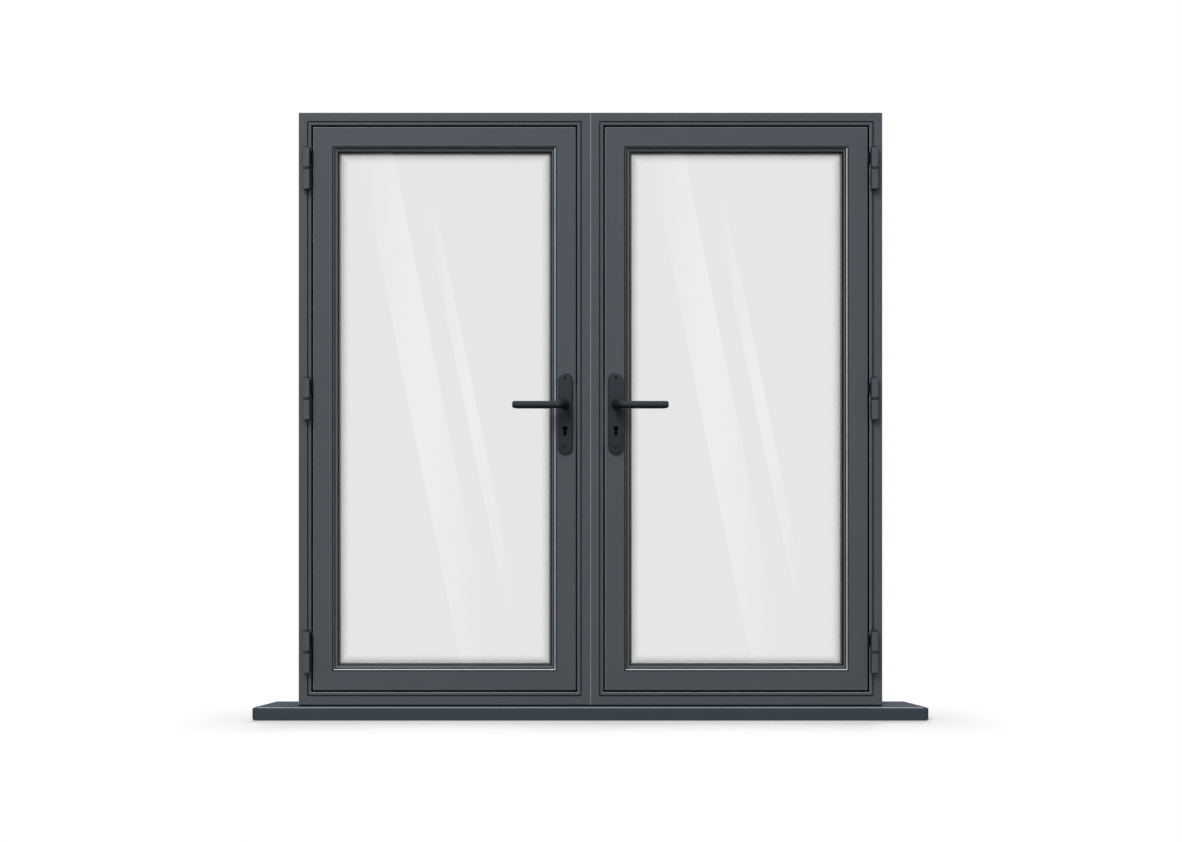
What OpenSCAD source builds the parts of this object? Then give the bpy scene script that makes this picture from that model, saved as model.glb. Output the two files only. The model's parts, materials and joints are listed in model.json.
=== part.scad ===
// French doors: two glazed leaves, each hung in its own mitred frame, coupled side by side on one sill.
// X runs along the sill, Y from the outside face to the inside, Z up from the sill's underside.
// The origin is the middle of the sill's underside, in the plane of the frames' outside faces.

/* [Door set] */
// Width of one door frame
unit_w = 1010; // [800:10:1200]
// Height of one door frame
frame_h = 2050; // [1950:10:2400]
// Depth of the frames and leaves from outside to inside
frame_d = 70; // [68:1:90]
// Wall thickness of the hollow profiles
wall = 2.5; // [1.5:0.1:3]
// Radius of the small edges of the profiles
edge_r = 1.2; // [0.5:0.1:2]

/* [Frame profile] */
// Face width of a frame member
frame_face = 44; // [42:1:60]
// Radius of the outer edge of a frame's outside face
joint_edge_r = 2.5; // [0.5:0.5:3]
// From a frame's outer edge to its shadow groove
groove_at = 30; // [26:1:34]
// Width of the shadow groove's floor
groove_w = 2; // [1:0.5:3]
// Width of the slope from that floor up to the bead
groove_slope = 2.5; // [1:0.5:5]
// Depth of the shadow groove
groove_t = 6; // [1:0.5:7]
// Radius of the bead edge next to the leaf
bead_edge_r = 1.5; // [0.5:0.5:3]
// Gap between a frame and its leaf
leaf_gap = 7; // [5.5:0.5:8]
// How far the door stop reaches behind the leaf
stop_reach = 15; // [12:1:18]
// Thickness of the door stop
stop_t = 18; // [14:1:20]
// Space behind the leaf's edge for the rebate seal
seal_space = 2; // [1.6:0.1:4]
// Width of the rebate seal
seal_w = 10; // [8:1:11]
// Width of the seal's stem in its groove
seal_stem_w = 4; // [3:0.5:5]
// Depth of the seal's groove in the stop
seal_stem_t = 4; // [3:0.5:5]

/* [Coupling] */
// Width of the coupling groove in each frame's outer side
coupler_w = 10; // [6:1:14]
// Depth of the coupling groove
coupler_t = 4; // [3:0.5:6]
// Depth of the groove's middle line behind the outside face
coupler_y = 36; // [34:1:44]
// Clearance round the coupling strip
coupler_fit = 0.1; // [0.05:0.05:0.3]

/* [Leaf profile] */
// Flat face width of a leaf member
leaf_face = 66; // [64:1:90]
// Width of the quirk beside the face
quirk_w = 3.5; // [1.5:0.5:4]
// Depth of the quirk
quirk_t = 8; // [3.5:0.5:9]
// Width of the rib at the glazing rebate
rib_w = 3.5; // [2:0.5:4]
// Width of the flat on top of the rib, before its bevel
rib_flat = 0.7; // [0.5:0.1:1.5]
// Gap between the rib and the glazing bead
bead_gap = 3.5; // [2:0.5:5]
// Face width of the glazing bead
bead_w = 7.5; // [6:0.5:12]
// Set-back of the glazing bead's outer edge from the leaf's face
bead_set = 1.5; // [0.5:0.5:3]
// How much further back the bead's inner edge lies
bead_slope = 2.5; // [0:0.5:4]
// Depth of the bead's back behind the leaf's face
bead_back = 12; // [11:0.5:14]
// Height of the foot that seats the bead on the rebate
bead_foot = 3; // [2.5:0.5:6]
// Space between the stop's edge and the leaf's thick part
step_gap = 7; // [6:0.5:10]
// Gap left at each mitre of the glazing beads
mitre_gap = 0.1; // [0.05:0.05:0.3]

/* [Glass] */
// Thickness of each glass pane
pane_t = 4; // [3:0.5:6]
// Width of the cavity between the panes
cavity_t = 16; // [12:1:18]
// Thickness of each glazing gasket
gasket_t = 3; // [2:0.5:4]
// Width of gasket that shows beside the bead
gasket_show = 3; // [2:0.5:5]
// Height of the glazing blocks
block_t = 5; // [3:0.5:6]
// Length of a glazing block
block_len = 100; // [60:5:150]
// How far the glass edge reaches past the spacer bar
spacer_inset = 3; // [2:0.5:5]
// Width of spacer bar that shows beside the gasket
spacer_show = 5; // [2:0.5:8]
// Length of the inside gasket's lip over the glass
inner_lip = 2; // [1:0.5:4]

/* [Sill] */
// How far the sill runs past the frames at each end, end caps included
sill_over = 155; // [140:5:300]
// How far each end runs back inward to the rear edge
sill_splay = 56; // [0:1:70]
// Height of the sill
sill_t = 46; // [40:1:60]
// How far the sill projects in front of the frames
sill_nose = 20; // [16:1:60]
// How far the sill runs on behind the frames
sill_tail = 24; // [10:1:60]
// Fall of the sill's top from the frame to the nose
sill_fall = 2; // [1:0.5:5]
// Radius of the nose
nose_r = 5; // [3:0.5:8]
// Wall thickness of the sill
sill_wall = 3; // [2:0.5:4]
// Width of the drip groove under the nose
drip_w = 5; // [3:1:8]
// Depth of the drip groove
drip_t = 3; // [2:0.5:4]
// Thickness of a sill end cap along the sill
cap_t = 16; // [14:1:24]
// Radius of an end cap's lower corner
cap_low_r = 8; // [4:1:12]
// Radius of an end cap's upper corner
cap_top_r = 7; // [2:1:8]
// Thickness of the seal between the sill and the frames
sill_seal_t = 4; // [2:0.5:5]
// How far that seal is set back from the frames' faces
sill_seal_set = 10; // [3:0.5:12]

/* [Hinges] */
// From a frame's outer edge to the hinge axis
hinge_at = 30; // [25:1:31]
// Radius of the hinge knuckles
knuckle_r = 14.3; // [12:0.1:16]
// Height of one knuckle
knuckle_h = 72; // [60:1:90]
// Rounding at the ends of the knuckles
knuckle_end_r = 6; // [2:0.5:8]
// From the axis to the flat on the front of the knuckles
knuckle_flat = 8.5; // [7:0.5:11]
// Gap between the two knuckles of a hinge
knuckle_gap = 4; // [3:0.5:8]
// Gap between the turning knuckle and the frame's face
knuckle_clear = 0.4; // [0.3:0.1:1]
// Radius of the hinge pins
pin_r = 5; // [4:0.5:6]
// How far a pin reaches into each knuckle
pin_reach = 58; // [40:1:58]
// Clearance of a pin in the turning knuckle
pin_fit = 0.05; // [0.02:0.01:0.1]
// Clearance of a pin in the fixed knuckle
pin_seat = 0.02; // [0.01:0.01:0.03]
// Radius of the bearing collar on a pin
collar_r = 9; // [7:0.5:11]
// Width of the foot that fixes a knuckle to the frame
foot_w = 22; // [16:1:26]
// Thickness of the hinge arms
arm_t = 3; // [2:0.5:3.5]
// Gap between an arm and the frame's face
arm_gap = 1.2; // [0.8:0.1:2]
// Height of the hinge arms
arm_h = 36; // [30:1:58]
// How far the arm's plate runs back along the leaf's edge
arm_reach = 32; // [20:1:42]
// From the frame's top to the middle of the top hinge
hinge_top = 195; // [160:5:300]
// From the frame's bottom to the middle of the bottom hinge
hinge_bottom = 186; // [170:2:300]
// From the frame's bottom to the middle of the middle hinge
hinge_middle = 1060; // [900:5:1200]

/* [Handles] */
// Height of the handle spindle above the sill's underside
spindle_z = 1089; // [950:1:1150]
// From the leaf's lock edge to the spindle
backset = 37; // [32:1:38]
// Width of a handle plate
plate_w = 52; // [44:1:56]
// Thickness of a handle plate
plate_t = 8; // [6:0.5:12]
// From the spindle to the top of the plate
plate_up = 109; // [100:1:140]
// From the spindle to the bottom of the plate
plate_down = 172; // [160:1:200]
// Chamfer round the plate's face
plate_chamfer = 1.5; // [0.5:0.5:3]
// Radius of the boss round the lever
boss_r = 15.5; // [13:0.5:18]
// Height of the boss
boss_t = 3; // [1:0.5:6]
// Radius of the lever's round bar
lever_r = 12.5; // [9:0.5:13]
// Length of a lever from the spindle to its tip
lever_len = 180; // [120:1:200]
// From the leaf's face to the middle of the grip
lever_out = 60; // [50:1:80]
// Bend radius of the lever at its middle line
bend_r = 18; // [14:1:24]
// Rounding of the lever's tip
tip_r = 8; // [2:0.5:8.5]
// Gap between the lever's shoulder and the boss
lever_gap = 0.3; // [0.2:0.1:0.6]
// Radius of the lever's journal in the plate
journal_r = 8; // [7:0.5:9]
// Clearance of the journal in the plate
journal_fit = 0.05; // [0.02:0.01:0.1]
// Width of the square spindle
spindle_w = 8; // [7:0.5:9]
// Clearance of the spindle in the levers
spindle_fit = 0.05; // [0.02:0.01:0.1]
// Length of spindle inside each lever
spindle_grip = 26; // [15:1:30]
// From the spindle up to the upper plate screw
screw_up = 92; // [84:1:120]
// From the spindle down to the lower plate screw
screw_down = 146; // [140:1:180]
// Radius of the plate screws
screw_r = 2.5; // [2:0.1:3]
// Radius of the screw heads
screw_head_r = 4.7; // [4:0.1:6]
// Width of the screw's hexagon socket across corners
socket_w = 4; // [3:0.1:4.5]
// Depth of the hexagon socket
socket_t = 1.8; // [1:0.1:2]

/* [Lock] */
// From the spindle down to the key cylinder's middle
cylinder_drop = 82; // [78:1:95]
// Radius of the key cylinder's round part
cylinder_r = 8.5; // [8:0.1:9]
// Width of the key cylinder's lower part
cylinder_w = 10; // [9:0.5:11]
// Full height of the key cylinder
cylinder_h = 33; // [30:0.5:34]
// Set-back of the key cylinder from the plate's face
cylinder_set = 1.5; // [0.5:0.5:3]
// Clearance round the key cylinder in the plates and the lock
cylinder_fit = 0.3; // [0.2:0.1:0.6]
// Radius of the turning plug
plug_r = 6.5; // [6:0.1:7]
// Clearance of the plug in the cylinder
plug_fit = 0.05; // [0.02:0.01:0.1]
// Width of the keyway
keyway_w = 2.6; // [2:0.1:3]
// Height of the keyway
keyway_h = 9; // [6:0.5:9.5]
// Depth of the keyway
keyway_t = 12; // [6:1:20]
// Middle of the lock behind the leaf's outside face
lock_y = 25; // [22:0.5:26]
// Thickness of the lock case
case_t = 15; // [14:0.5:18]
// Depth of the lock case from the leaf's edge
case_d = 52; // [50:1:56]
// From the spindle to the top of the lock case
case_up = 50; // [44:1:70]
// From the spindle to the bottom of the lock case
case_down = 125; // [118:1:134]
// Clearance round the lock case in the leaf's edge
case_fit = 0.3; // [0.2:0.1:0.6]
// Thickness of the lock's faceplate
faceplate_t = 2.5; // [1.5:0.1:2.6]
// Width of the faceplate and the keep
faceplate_w = 22; // [20:1:26]
// Length of faceplate and keep past the lock case at each end
faceplate_end = 20; // [12:1:30]
// Thickness of the keep
keep_t = 1.5; // [1:0.1:1.6]
// Thickness of both bolts
bolt_t = 10; // [8:0.5:10]
// Height of the latch bolt
latch_h = 16; // [12:1:18]
// From the spindle up to the latch bolt's middle
latch_up = 26; // [22:1:32]
// Travel of the latch bolt
latch_throw = 12; // [8:1:14]
// Length of the latch bolt inside the lock
latch_len = 32; // [20:1:34]
// Height of the dead bolt
dead_h = 28; // [20:1:30]
// From the spindle down to the dead bolt's middle
dead_drop = 46; // [40:1:52]
// Travel of the dead bolt
dead_throw = 20; // [14:1:22]
// Length of the dead bolt
dead_len = 48; // [36:1:48]
// Clearance round the bolts in the lock
bolt_fit = 0.25; // [0.15:0.05:0.4]
// Room round the bolts in the keep
keep_room = 1.5; // [1:0.1:3]
// Radius of the follower round the spindle
follower_r = 9; // [8:0.5:10]
// Clearance of the follower in the lock case
follower_fit = 0.2; // [0.1:0.05:0.4]

/* [Fixings] */
// Radius of the wall fixing holes in the frames
fixing_r = 4.25; // [3:0.25:5.5]
// Radius of the access holes for the fixing screws' heads
access_r = 8; // [6:0.5:9]
// Depth of the fixing holes' middle line behind the outside face
fixing_y = 18; // [16:1:20]
// From a frame's end to its nearest fixing
fixing_end = 250; // [200:10:400]
// Distance between the two fixings of a jamb pair
fixing_pitch = 600; // [400:10:650]

/* [Hidden] */
SIDES = ["left", "right"];
FIXED_PIECES = ["sill", "sill_seal", "frame_coupler", "frame_seals", "lock_keeps", "hinge_pins"];
SIDE_PIECES = ["sill_end_cap", "frame_head", "frame_hinge_jamb", "frame_lock_jamb", "frame_threshold",
    "hinge_frame_knuckles", "hinge_stile", "lock_stile", "top_rail", "bottom_rail", "glazing_beads", "glass_panes",
    "glass_spacer", "glazing_gaskets", "glazing_blocks", "hinge_leaf_knuckles", "outside_plate", "inside_plate",
    "plate_screws", "lock_case", "cylinder_body", "outside_lever", "inside_lever", "spindle", "latch_bolt",
    "dead_bolt", "cylinder_plug"];

$fn = 48;
arc_steps = 5;
cut = 1;

frame_grey = "#54595e";
sill_grey = "#3d444b";
handle_grey = "#373c41";
steel = "#8f9396";
rubber_black = "#141516";
spacer_grey = "#8d9093";
block_grey = "#5c6063";
glass_tint = [0.88, 0.9, 0.9, 0.35];

frame_z = sill_t + sill_seal_t;
sill_len = 2 * (unit_w + sill_over);
sill_back = frame_d + sill_tail;
reveal = frame_face + leaf_gap;
leaf_x = -unit_w + reveal;
leaf_z = frame_z + reveal;
leaf_w = unit_w - 2 * reveal;
leaf_h = frame_h - 2 * reveal;
stop_y = frame_d - stop_t;
edge_y = stop_y - seal_space;
stop_u = reveal + stop_reach;
seal_u = reveal + stop_reach / 2;
seal_gap = 0.3;
sill_chamber_count = 3;
seal_stem_fit = 0.2;
step_u = stop_reach + step_gap;
rebate_u = leaf_face + quirk_w + rib_w;
bead_u = rebate_u + bead_gap;
bead_end = bead_u + bead_w;
sight_u = bead_end + gasket_show;
glass_u = rebate_u + block_t;
pane_y = bead_back + gasket_t;
inner_pane_y = pane_y + pane_t + cavity_t;
flange_y = inner_pane_y + pane_t + gasket_t;
rib_set = 0.3;
lip_t = 0.8;
quirk_draft = 0.5;
mitre_reach = 120;

hinge_x = -unit_w + hinge_at;
hinge_y = -(knuckle_r + knuckle_clear);
hinge_zs = [frame_z + hinge_bottom, frame_z + hinge_middle, frame_z + frame_h - hinge_top];
collar_clear = 0.05;

spindle_hole_room = 0.5;
spindle_hole_r = follower_r + spindle_hole_room;
screw_clear = 0.5;
wall_cut_room = 1;

// Points along an arc about (cx, cy)
function arc(cx, cy, r, from, to) =
    [for (i = [0:arc_steps]) let (a = from + (to - from) * i / arc_steps) [cx + r * cos(a), cy + r * sin(a)]];

// The right-hand door is the mirror image of the left-hand one
module on_side(side) {
    if (side == "right") mirror([1, 0, 0]) children();
    else children();
}

// A bar with the child section (u inward, y back), standing along Z and mitred at both ends
module mitred_bar(len, gap = 0) {
    intersection() {
        linear_extrude(len) children();
        translate([0, frame_d + cut, 0]) rotate([90, 0, 0]) linear_extrude(frame_d + 2 * cut)
            polygon([[0, gap], [mitre_reach, mitre_reach + gap], [mitre_reach, len - mitre_reach - gap],
                [0, len - gap]]);
    }
}

// One side of a mitred ring that fills a w by h outline
module ring_side(side, w, h, gap = 0) {
    if (side == "hinge") mitred_bar(h, gap) children();
    if (side == "lock") translate([w, 0, 0]) mirror([1, 0, 0]) mitred_bar(h, gap) children();
    if (side == "bottom") mirror([0, 0, 1]) rotate([0, 90, 0]) mitred_bar(w, gap) children();
    if (side == "top") translate([0, 0, h]) rotate([0, 90, 0]) mitred_bar(w, gap) children();
}

// A ring of rectangular section between insets u0 and u1, from depth y0 to y1
module box_ring(w, h, u0, u1, y0, y1) {
    difference() {
        translate([u0, y0, u0]) cube([w - 2 * u0, y1 - y0, h - 2 * u0]);
        translate([u1, y0 - cut, u1]) cube([w - 2 * u1, y1 - y0 + 2 * cut, h - 2 * u1]);
    }
}

module in_frame() translate([-unit_w, 0, frame_z]) children();
module in_leaf() translate([leaf_x, 0, leaf_z]) children();

// Lock frame: x runs from the leaf's lock edge into the leaf, z from the spindle
module in_lock() translate([-reveal, 0, spindle_z]) mirror([1, 0, 0]) children();

// The inside hardware is the outside hardware turned to the other face
module on_inside() translate([0, frame_d, 0]) mirror([0, 1, 0]) children();

// A cylinder along Y from y0 to y1
module rod_y(r, y0, y1) translate([0, y1, 0]) rotate([90, 0, 0]) cylinder(r = r, h = y1 - y0);

// Sections

module frame_section() {
    difference() {
        polygon(concat(
            arc(joint_edge_r, joint_edge_r, joint_edge_r, 180, 270),
            [[groove_at, 0], [groove_at + quirk_draft, groove_t], [groove_at + groove_w, groove_t],
                [groove_at + groove_w + groove_slope, 0]],
            arc(frame_face - bead_edge_r, bead_edge_r, bead_edge_r, 270, 360),
            [[frame_face, stop_y],
                [seal_u - seal_stem_w / 2, stop_y], [seal_u - seal_stem_w / 2, stop_y + seal_stem_t],
                [seal_u + seal_stem_w / 2, stop_y + seal_stem_t], [seal_u + seal_stem_w / 2, stop_y]],
            arc(stop_u - edge_r, stop_y + edge_r, edge_r, 270, 360),
            arc(stop_u - edge_r, frame_d - edge_r, edge_r, 0, 90),
            arc(edge_r, frame_d - edge_r, edge_r, 90, 180),
            [[0, coupler_y + coupler_w / 2], [coupler_t, coupler_y + coupler_w / 2],
                [coupler_t, coupler_y - coupler_w / 2], [0, coupler_y - coupler_w / 2]]));
        polygon([[coupler_t + wall, wall], [groove_at - wall, wall], [groove_at - wall, groove_t + wall],
            [frame_face - wall, groove_t + wall],
            [frame_face - wall, stop_y + seal_stem_t + wall], [stop_u - wall, stop_y + seal_stem_t + wall],
            [stop_u - wall, frame_d - wall], [coupler_t + wall, frame_d - wall]]);
    }
}

module leaf_section() {
    difference() {
        polygon(concat(
            arc(edge_r, edge_r, edge_r, 180, 270),
            [[leaf_face, 0], [leaf_face + quirk_draft, quirk_t], [leaf_face + quirk_w, quirk_t],
                [leaf_face + quirk_w, rib_set], [leaf_face + quirk_w + rib_flat, rib_set],
                [rebate_u, rib_set + rib_w - rib_flat], [rebate_u, flange_y]],
            arc(sight_u - edge_r, flange_y + edge_r, edge_r, 270, 360),
            arc(sight_u - edge_r, frame_d - edge_r, edge_r, 0, 90),
            arc(step_u + edge_r, frame_d - edge_r, edge_r, 90, 180),
            [[step_u, edge_y], [0, edge_y]]));
        polygon([[wall, wall], [leaf_face - wall, wall], [leaf_face - wall, quirk_t + wall],
            [rebate_u - wall, quirk_t + wall], [rebate_u - wall, flange_y + wall],
            [sight_u - wall, flange_y + wall], [sight_u - wall, frame_d - wall],
            [step_u + wall, frame_d - wall], [step_u + wall, edge_y - wall], [wall, edge_y - wall]]);
    }
}

module bead_section() {
    polygon(concat(
        [[rebate_u, bead_back], [rebate_u, bead_back - bead_foot], [bead_u, bead_back - bead_foot]],
        arc(bead_u + edge_r, bead_set + edge_r, edge_r, 180, 270),
        arc(bead_end - bead_edge_r, bead_set + bead_slope + bead_edge_r, bead_edge_r, 270, 360),
        [[bead_end, bead_back]]));
}

module outside_gasket_section() {
    polygon([[glass_u, bead_back], [bead_end, bead_back], [sight_u, pane_y - lip_t], [sight_u, pane_y],
        [glass_u, pane_y]]);
}

module euro_profile(room = 0) {
    circle(r = cylinder_r + room);
    translate([-cylinder_w / 2 - room, -(cylinder_h - cylinder_r) - room])
        square([cylinder_w + 2 * room, cylinder_h - cylinder_r + room]);
}

module stadium_solid(w, z0, z1, y0, y1, chamfer) {
    r = w / 2;
    for (z = [z0 + r, z1 - r]) translate([0, 0, z]) {
        rod_y(r, y0 + chamfer, y1);
        translate([0, y0 + chamfer, 0]) rotate([90, 0, 0]) cylinder(r1 = r, r2 = r - chamfer, h = chamfer);
    }
    translate([0, 0, z0 + r]) linear_extrude(z1 - z0 - w)
        polygon([[-r, y1], [-r, y0 + chamfer], [-r + chamfer, y0], [r - chamfer, y0], [r, y0 + chamfer], [r, y1]]);
}

// Sill

module sill_section() {
    front = -sill_nose;
    nose_z = sill_t - sill_fall;
    drip_y = front / 2;
    polygon(concat(
        [[sill_back, 0], [sill_back, sill_t], [0, sill_t]],
        arc(front + nose_r, nose_z - nose_r, nose_r, 90, 180),
        arc(front + edge_r, edge_r, edge_r, 180, 270),
        [[drip_y - drip_w / 2, 0], [drip_y - drip_w / 2, drip_t], [drip_y + drip_w / 2, drip_t],
            [drip_y + drip_w / 2, 0]]));
}

module sill_chambers() {
    low = drip_t + sill_wall;
    high = sill_t - sill_fall - sill_wall;
    front = -sill_nose + sill_wall + nose_r / 2;
    pitch = (sill_back - front) / sill_chamber_count;
    for (i = [0:sill_chamber_count - 1])
        translate([front + i * pitch, low]) square([pitch - sill_wall, high - low]);
}

// Plan of the sill, less some length at each end
module sill_plan(less) {
    front = sill_len / 2 - less;
    back = front - sill_splay;
    polygon([[-front, -sill_nose], [front, -sill_nose], [back, sill_back], [-back, sill_back]]);
}

module along_sill() rotate([90, 0, 90]) linear_extrude(sill_len, center = true) children();

module sill() {
    color(sill_grey) intersection() {
        along_sill() difference() {
            sill_section();
            sill_chambers();
        }
        linear_extrude(sill_t) sill_plan(cap_t);
    }
}

module sill_end_cap() {
    sill_d = sill_nose + sill_back;
    splay_angle = atan2(sill_splay, sill_d);
    inward = cap_t + cap_low_r + cap_top_r;
    outline = concat(
        [[inward, sill_t], [inward, 0]],
        arc(cap_low_r, cap_low_r, cap_low_r, 270, 180),
        arc(cap_top_r, sill_t - cap_top_r, cap_top_r, 180, 90));
    color(sill_grey) intersection() {
        along_sill() sill_section();
        linear_extrude(sill_t) difference() {
            sill_plan(0);
            sill_plan(cap_t);
        }
        translate([-sill_len / 2, -sill_nose, 0]) rotate([0, 0, -splay_angle])
            translate([0, 2 * sill_d, 0]) rotate([90, 0, 0]) linear_extrude(3 * sill_d) polygon(outline);
    }
}

module sill_seal() {
    color(rubber_black) translate([-unit_w, sill_seal_set, sill_t])
        cube([2 * unit_w, frame_d - 2 * sill_seal_set, sill_seal_t]);
}

// Frames

module fixing_hole(depth) {
    cylinder(r = fixing_r, h = coupler_t + wall + cut);
    translate([0, 0, depth - 2 * wall]) cylinder(r = access_r, h = 2 * wall + cut);
}

module frame_hinge_jamb() {
    zs = [fixing_end, fixing_end + fixing_pitch, frame_h - fixing_end - fixing_pitch, frame_h - fixing_end];
    color(frame_grey) in_frame() difference() {
        ring_side("hinge", unit_w, frame_h) frame_section();
        for (z = zs) translate([-cut, fixing_y, z]) rotate([0, 90, 0]) fixing_hole(frame_face + cut);
    }
}

module frame_head() {
    color(frame_grey) in_frame() difference() {
        ring_side("top", unit_w, frame_h) frame_section();
        for (x = [fixing_end, unit_w - fixing_end]) translate([x, fixing_y, frame_h + cut])
            mirror([0, 0, 1]) fixing_hole(frame_face + cut);
    }
}

module frame_threshold() {
    color(frame_grey) in_frame() ring_side("bottom", unit_w, frame_h) frame_section();
}

// Openings for the latch and the dead bolt, through a plate between depths x0 and x1 from the leaf's edge
module bolt_openings(x0, x1, room) {
    for (bolt = [[latch_up, latch_h], [-dead_drop, dead_h]])
        translate([x0, lock_y - bolt_t / 2 - room, bolt[0] - bolt[1] / 2 - room])
            cube([x1 - x0, bolt_t + 2 * room, bolt[1] + 2 * room]);
}

module frame_lock_jamb() {
    color(frame_grey) difference() {
        in_frame() ring_side("lock", unit_w, frame_h) frame_section();
        in_lock() bolt_openings(-leaf_gap - wall - cut, -leaf_gap + cut, keep_room + wall_cut_room);
    }
}

module frame_coupler() {
    w = coupler_w - 2 * coupler_fit;
    t = coupler_t - coupler_fit;
    color(steel) translate([-t, coupler_y - w / 2, frame_z]) cube([2 * t, w, frame_h]);
}

module frame_seal() {
    half_stem = seal_stem_w / 2 - seal_stem_fit;
    color(rubber_black) in_frame() {
        box_ring(unit_w, frame_h, seal_u - seal_w / 2, seal_u + seal_w / 2,
            stop_y - seal_space + seal_gap, stop_y);
        box_ring(unit_w, frame_h, seal_u - half_stem, seal_u + half_stem,
            stop_y - seal_gap, stop_y + seal_stem_t - seal_stem_fit);
    }
}

module frame_seals() {
    for (side = SIDES) on_side(side) frame_seal();
}

module lock_keep() {
    color(steel) in_lock() difference() {
        translate([-leaf_gap, lock_y - faceplate_w / 2, -case_down - faceplate_end])
            cube([keep_t, faceplate_w, case_up + case_down + 2 * faceplate_end]);
        bolt_openings(-leaf_gap - cut, -leaf_gap + keep_t + cut, keep_room);
    }
}

module lock_keeps() {
    for (side = SIDES) on_side(side) lock_keep();
}

// Hinges

// A round knuckle with rounded ends and a flat front, standing on z = 0 about the hinge axis
module knuckle() {
    r = knuckle_end_r;
    difference() {
        rotate_extrude() intersection() {
            union() {
                translate([0, r]) square([knuckle_r, knuckle_h - 2 * r]);
                square([knuckle_r - r, knuckle_h]);
                for (z = [r, knuckle_h - r]) translate([knuckle_r - r, z]) circle(r = r);
            }
            square([knuckle_r, knuckle_h]);
        }
        translate([-knuckle_r, -knuckle_flat - knuckle_r, -cut])
            cube([2 * knuckle_r, knuckle_r, knuckle_h + 2 * cut]);
    }
}

module at_hinges() {
    for (z = hinge_zs) translate([hinge_x, hinge_y, z]) children();
}

module hinge_frame_knuckles() {
    foot_z = knuckle_end_r;
    color(frame_grey) at_hinges() difference() {
        translate([0, 0, -knuckle_gap / 2 - knuckle_h]) union() {
            knuckle();
            translate([-foot_w / 2, 0, foot_z]) cube([foot_w, -hinge_y, knuckle_h - 2 * foot_z]);
        }
        translate([0, 0, -knuckle_gap / 2 - pin_reach]) cylinder(r = pin_r + pin_seat, h = pin_reach + cut);
    }
}

module hinge_leaf_knuckles() {
    arm_x = leaf_x - hinge_x;
    arm_z = (knuckle_h - arm_h) / 2;
    arm_front = -hinge_y - arm_gap - arm_t;
    color(frame_grey) at_hinges() translate([0, 0, knuckle_gap / 2]) difference() {
        union() {
            knuckle();
            translate([0, arm_front, arm_z]) cube([arm_x, arm_t, arm_h]);
            translate([arm_x - arm_t, arm_front, arm_z]) cube([arm_t, arm_t + arm_gap + arm_reach, arm_h]);
        }
        translate([0, 0, -cut]) cylinder(r = pin_r + pin_fit, h = pin_reach + cut);
    }
}

module hinge_pins() {
    collar_t = knuckle_gap - 2 * collar_clear;
    reach = pin_reach + knuckle_gap / 2 - collar_clear;
    color(steel) for (side = SIDES) on_side(side) at_hinges() {
        translate([0, 0, -reach]) cylinder(r = pin_r, h = 2 * reach);
        translate([0, 0, -collar_t / 2]) cylinder(r = collar_r, h = collar_t);
    }
}

// Leaves

module hinge_stile() {
    color(frame_grey) in_leaf() ring_side("hinge", leaf_w, leaf_h) leaf_section();
}

module top_rail() {
    color(frame_grey) in_leaf() ring_side("top", leaf_w, leaf_h) leaf_section();
}

module bottom_rail() {
    color(frame_grey) in_leaf() ring_side("bottom", leaf_w, leaf_h) leaf_section();
}

module lock_stile() {
    color(frame_grey) difference() {
        in_leaf() ring_side("lock", leaf_w, leaf_h) leaf_section();
        in_lock() {
            translate([-cut, lock_y - case_t / 2 - case_fit, -case_down - case_fit])
                cube([wall + 2 * cut, case_t + 2 * case_fit, case_up + case_down + 2 * case_fit]);
            translate([backset, 0, 0]) {
                rod_y(spindle_hole_r, -cut, frame_d + cut);
                for (z = [screw_up, -screw_down]) translate([0, 0, z])
                    rod_y(screw_r + screw_clear, -cut, frame_d + cut);
                translate([0, frame_d + cut, -cylinder_drop]) rotate([90, 0, 0])
                    linear_extrude(frame_d + 2 * cut) euro_profile(wall_cut_room);
            }
        }
    }
}

module glazing_beads() {
    color(frame_grey) in_leaf() for (side = ["hinge", "lock", "top", "bottom"])
        ring_side(side, leaf_w, leaf_h, mitre_gap) bead_section();
}

module pane(y) {
    translate([glass_u, y, glass_u]) cube([leaf_w - 2 * glass_u, pane_t, leaf_h - 2 * glass_u]);
}

module glass_panes() {
    color(glass_tint) in_leaf() {
        pane(pane_y);
        pane(inner_pane_y);
    }
}

module glass_spacer() {
    color(spacer_grey) in_leaf()
        box_ring(leaf_w, leaf_h, glass_u + spacer_inset, sight_u + spacer_show, pane_y + pane_t, inner_pane_y);
}

module glazing_gaskets() {
    color(rubber_black) in_leaf() {
        for (side = ["hinge", "lock", "top", "bottom"])
            ring_side(side, leaf_w, leaf_h, mitre_gap) outside_gasket_section();
        box_ring(leaf_w, leaf_h, glass_u, sight_u + inner_lip, inner_pane_y + pane_t, flange_y);
    }
}

module glazing_blocks() {
    color(block_grey) in_leaf() for (x = [leaf_w / 4, leaf_w * 3 / 4], z = [rebate_u, leaf_h - glass_u])
        translate([x - block_len / 2, pane_y, z]) cube([block_len, inner_pane_y + pane_t - pane_y, block_t]);
}

// Handles

module plate() {
    color(handle_grey) in_lock() translate([backset, 0, 0]) difference() {
        union() {
            stadium_solid(plate_w, -plate_down, plate_up, -plate_t, 0, plate_chamfer);
            rod_y(boss_r, -plate_t - boss_t, -plate_t / 2);
        }
        rod_y(journal_r + journal_fit, -plate_t - boss_t - cut, cut);
        for (z = [screw_up, -screw_down]) translate([0, 0, z]) {
            rod_y(screw_r + screw_clear, -plate_t - cut, cut);
            screw_head(screw_clear / 2);
        }
        translate([0, cut, -cylinder_drop]) rotate([90, 0, 0])
            linear_extrude(plate_t + 2 * cut) euro_profile(cylinder_fit);
    }
}

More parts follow.
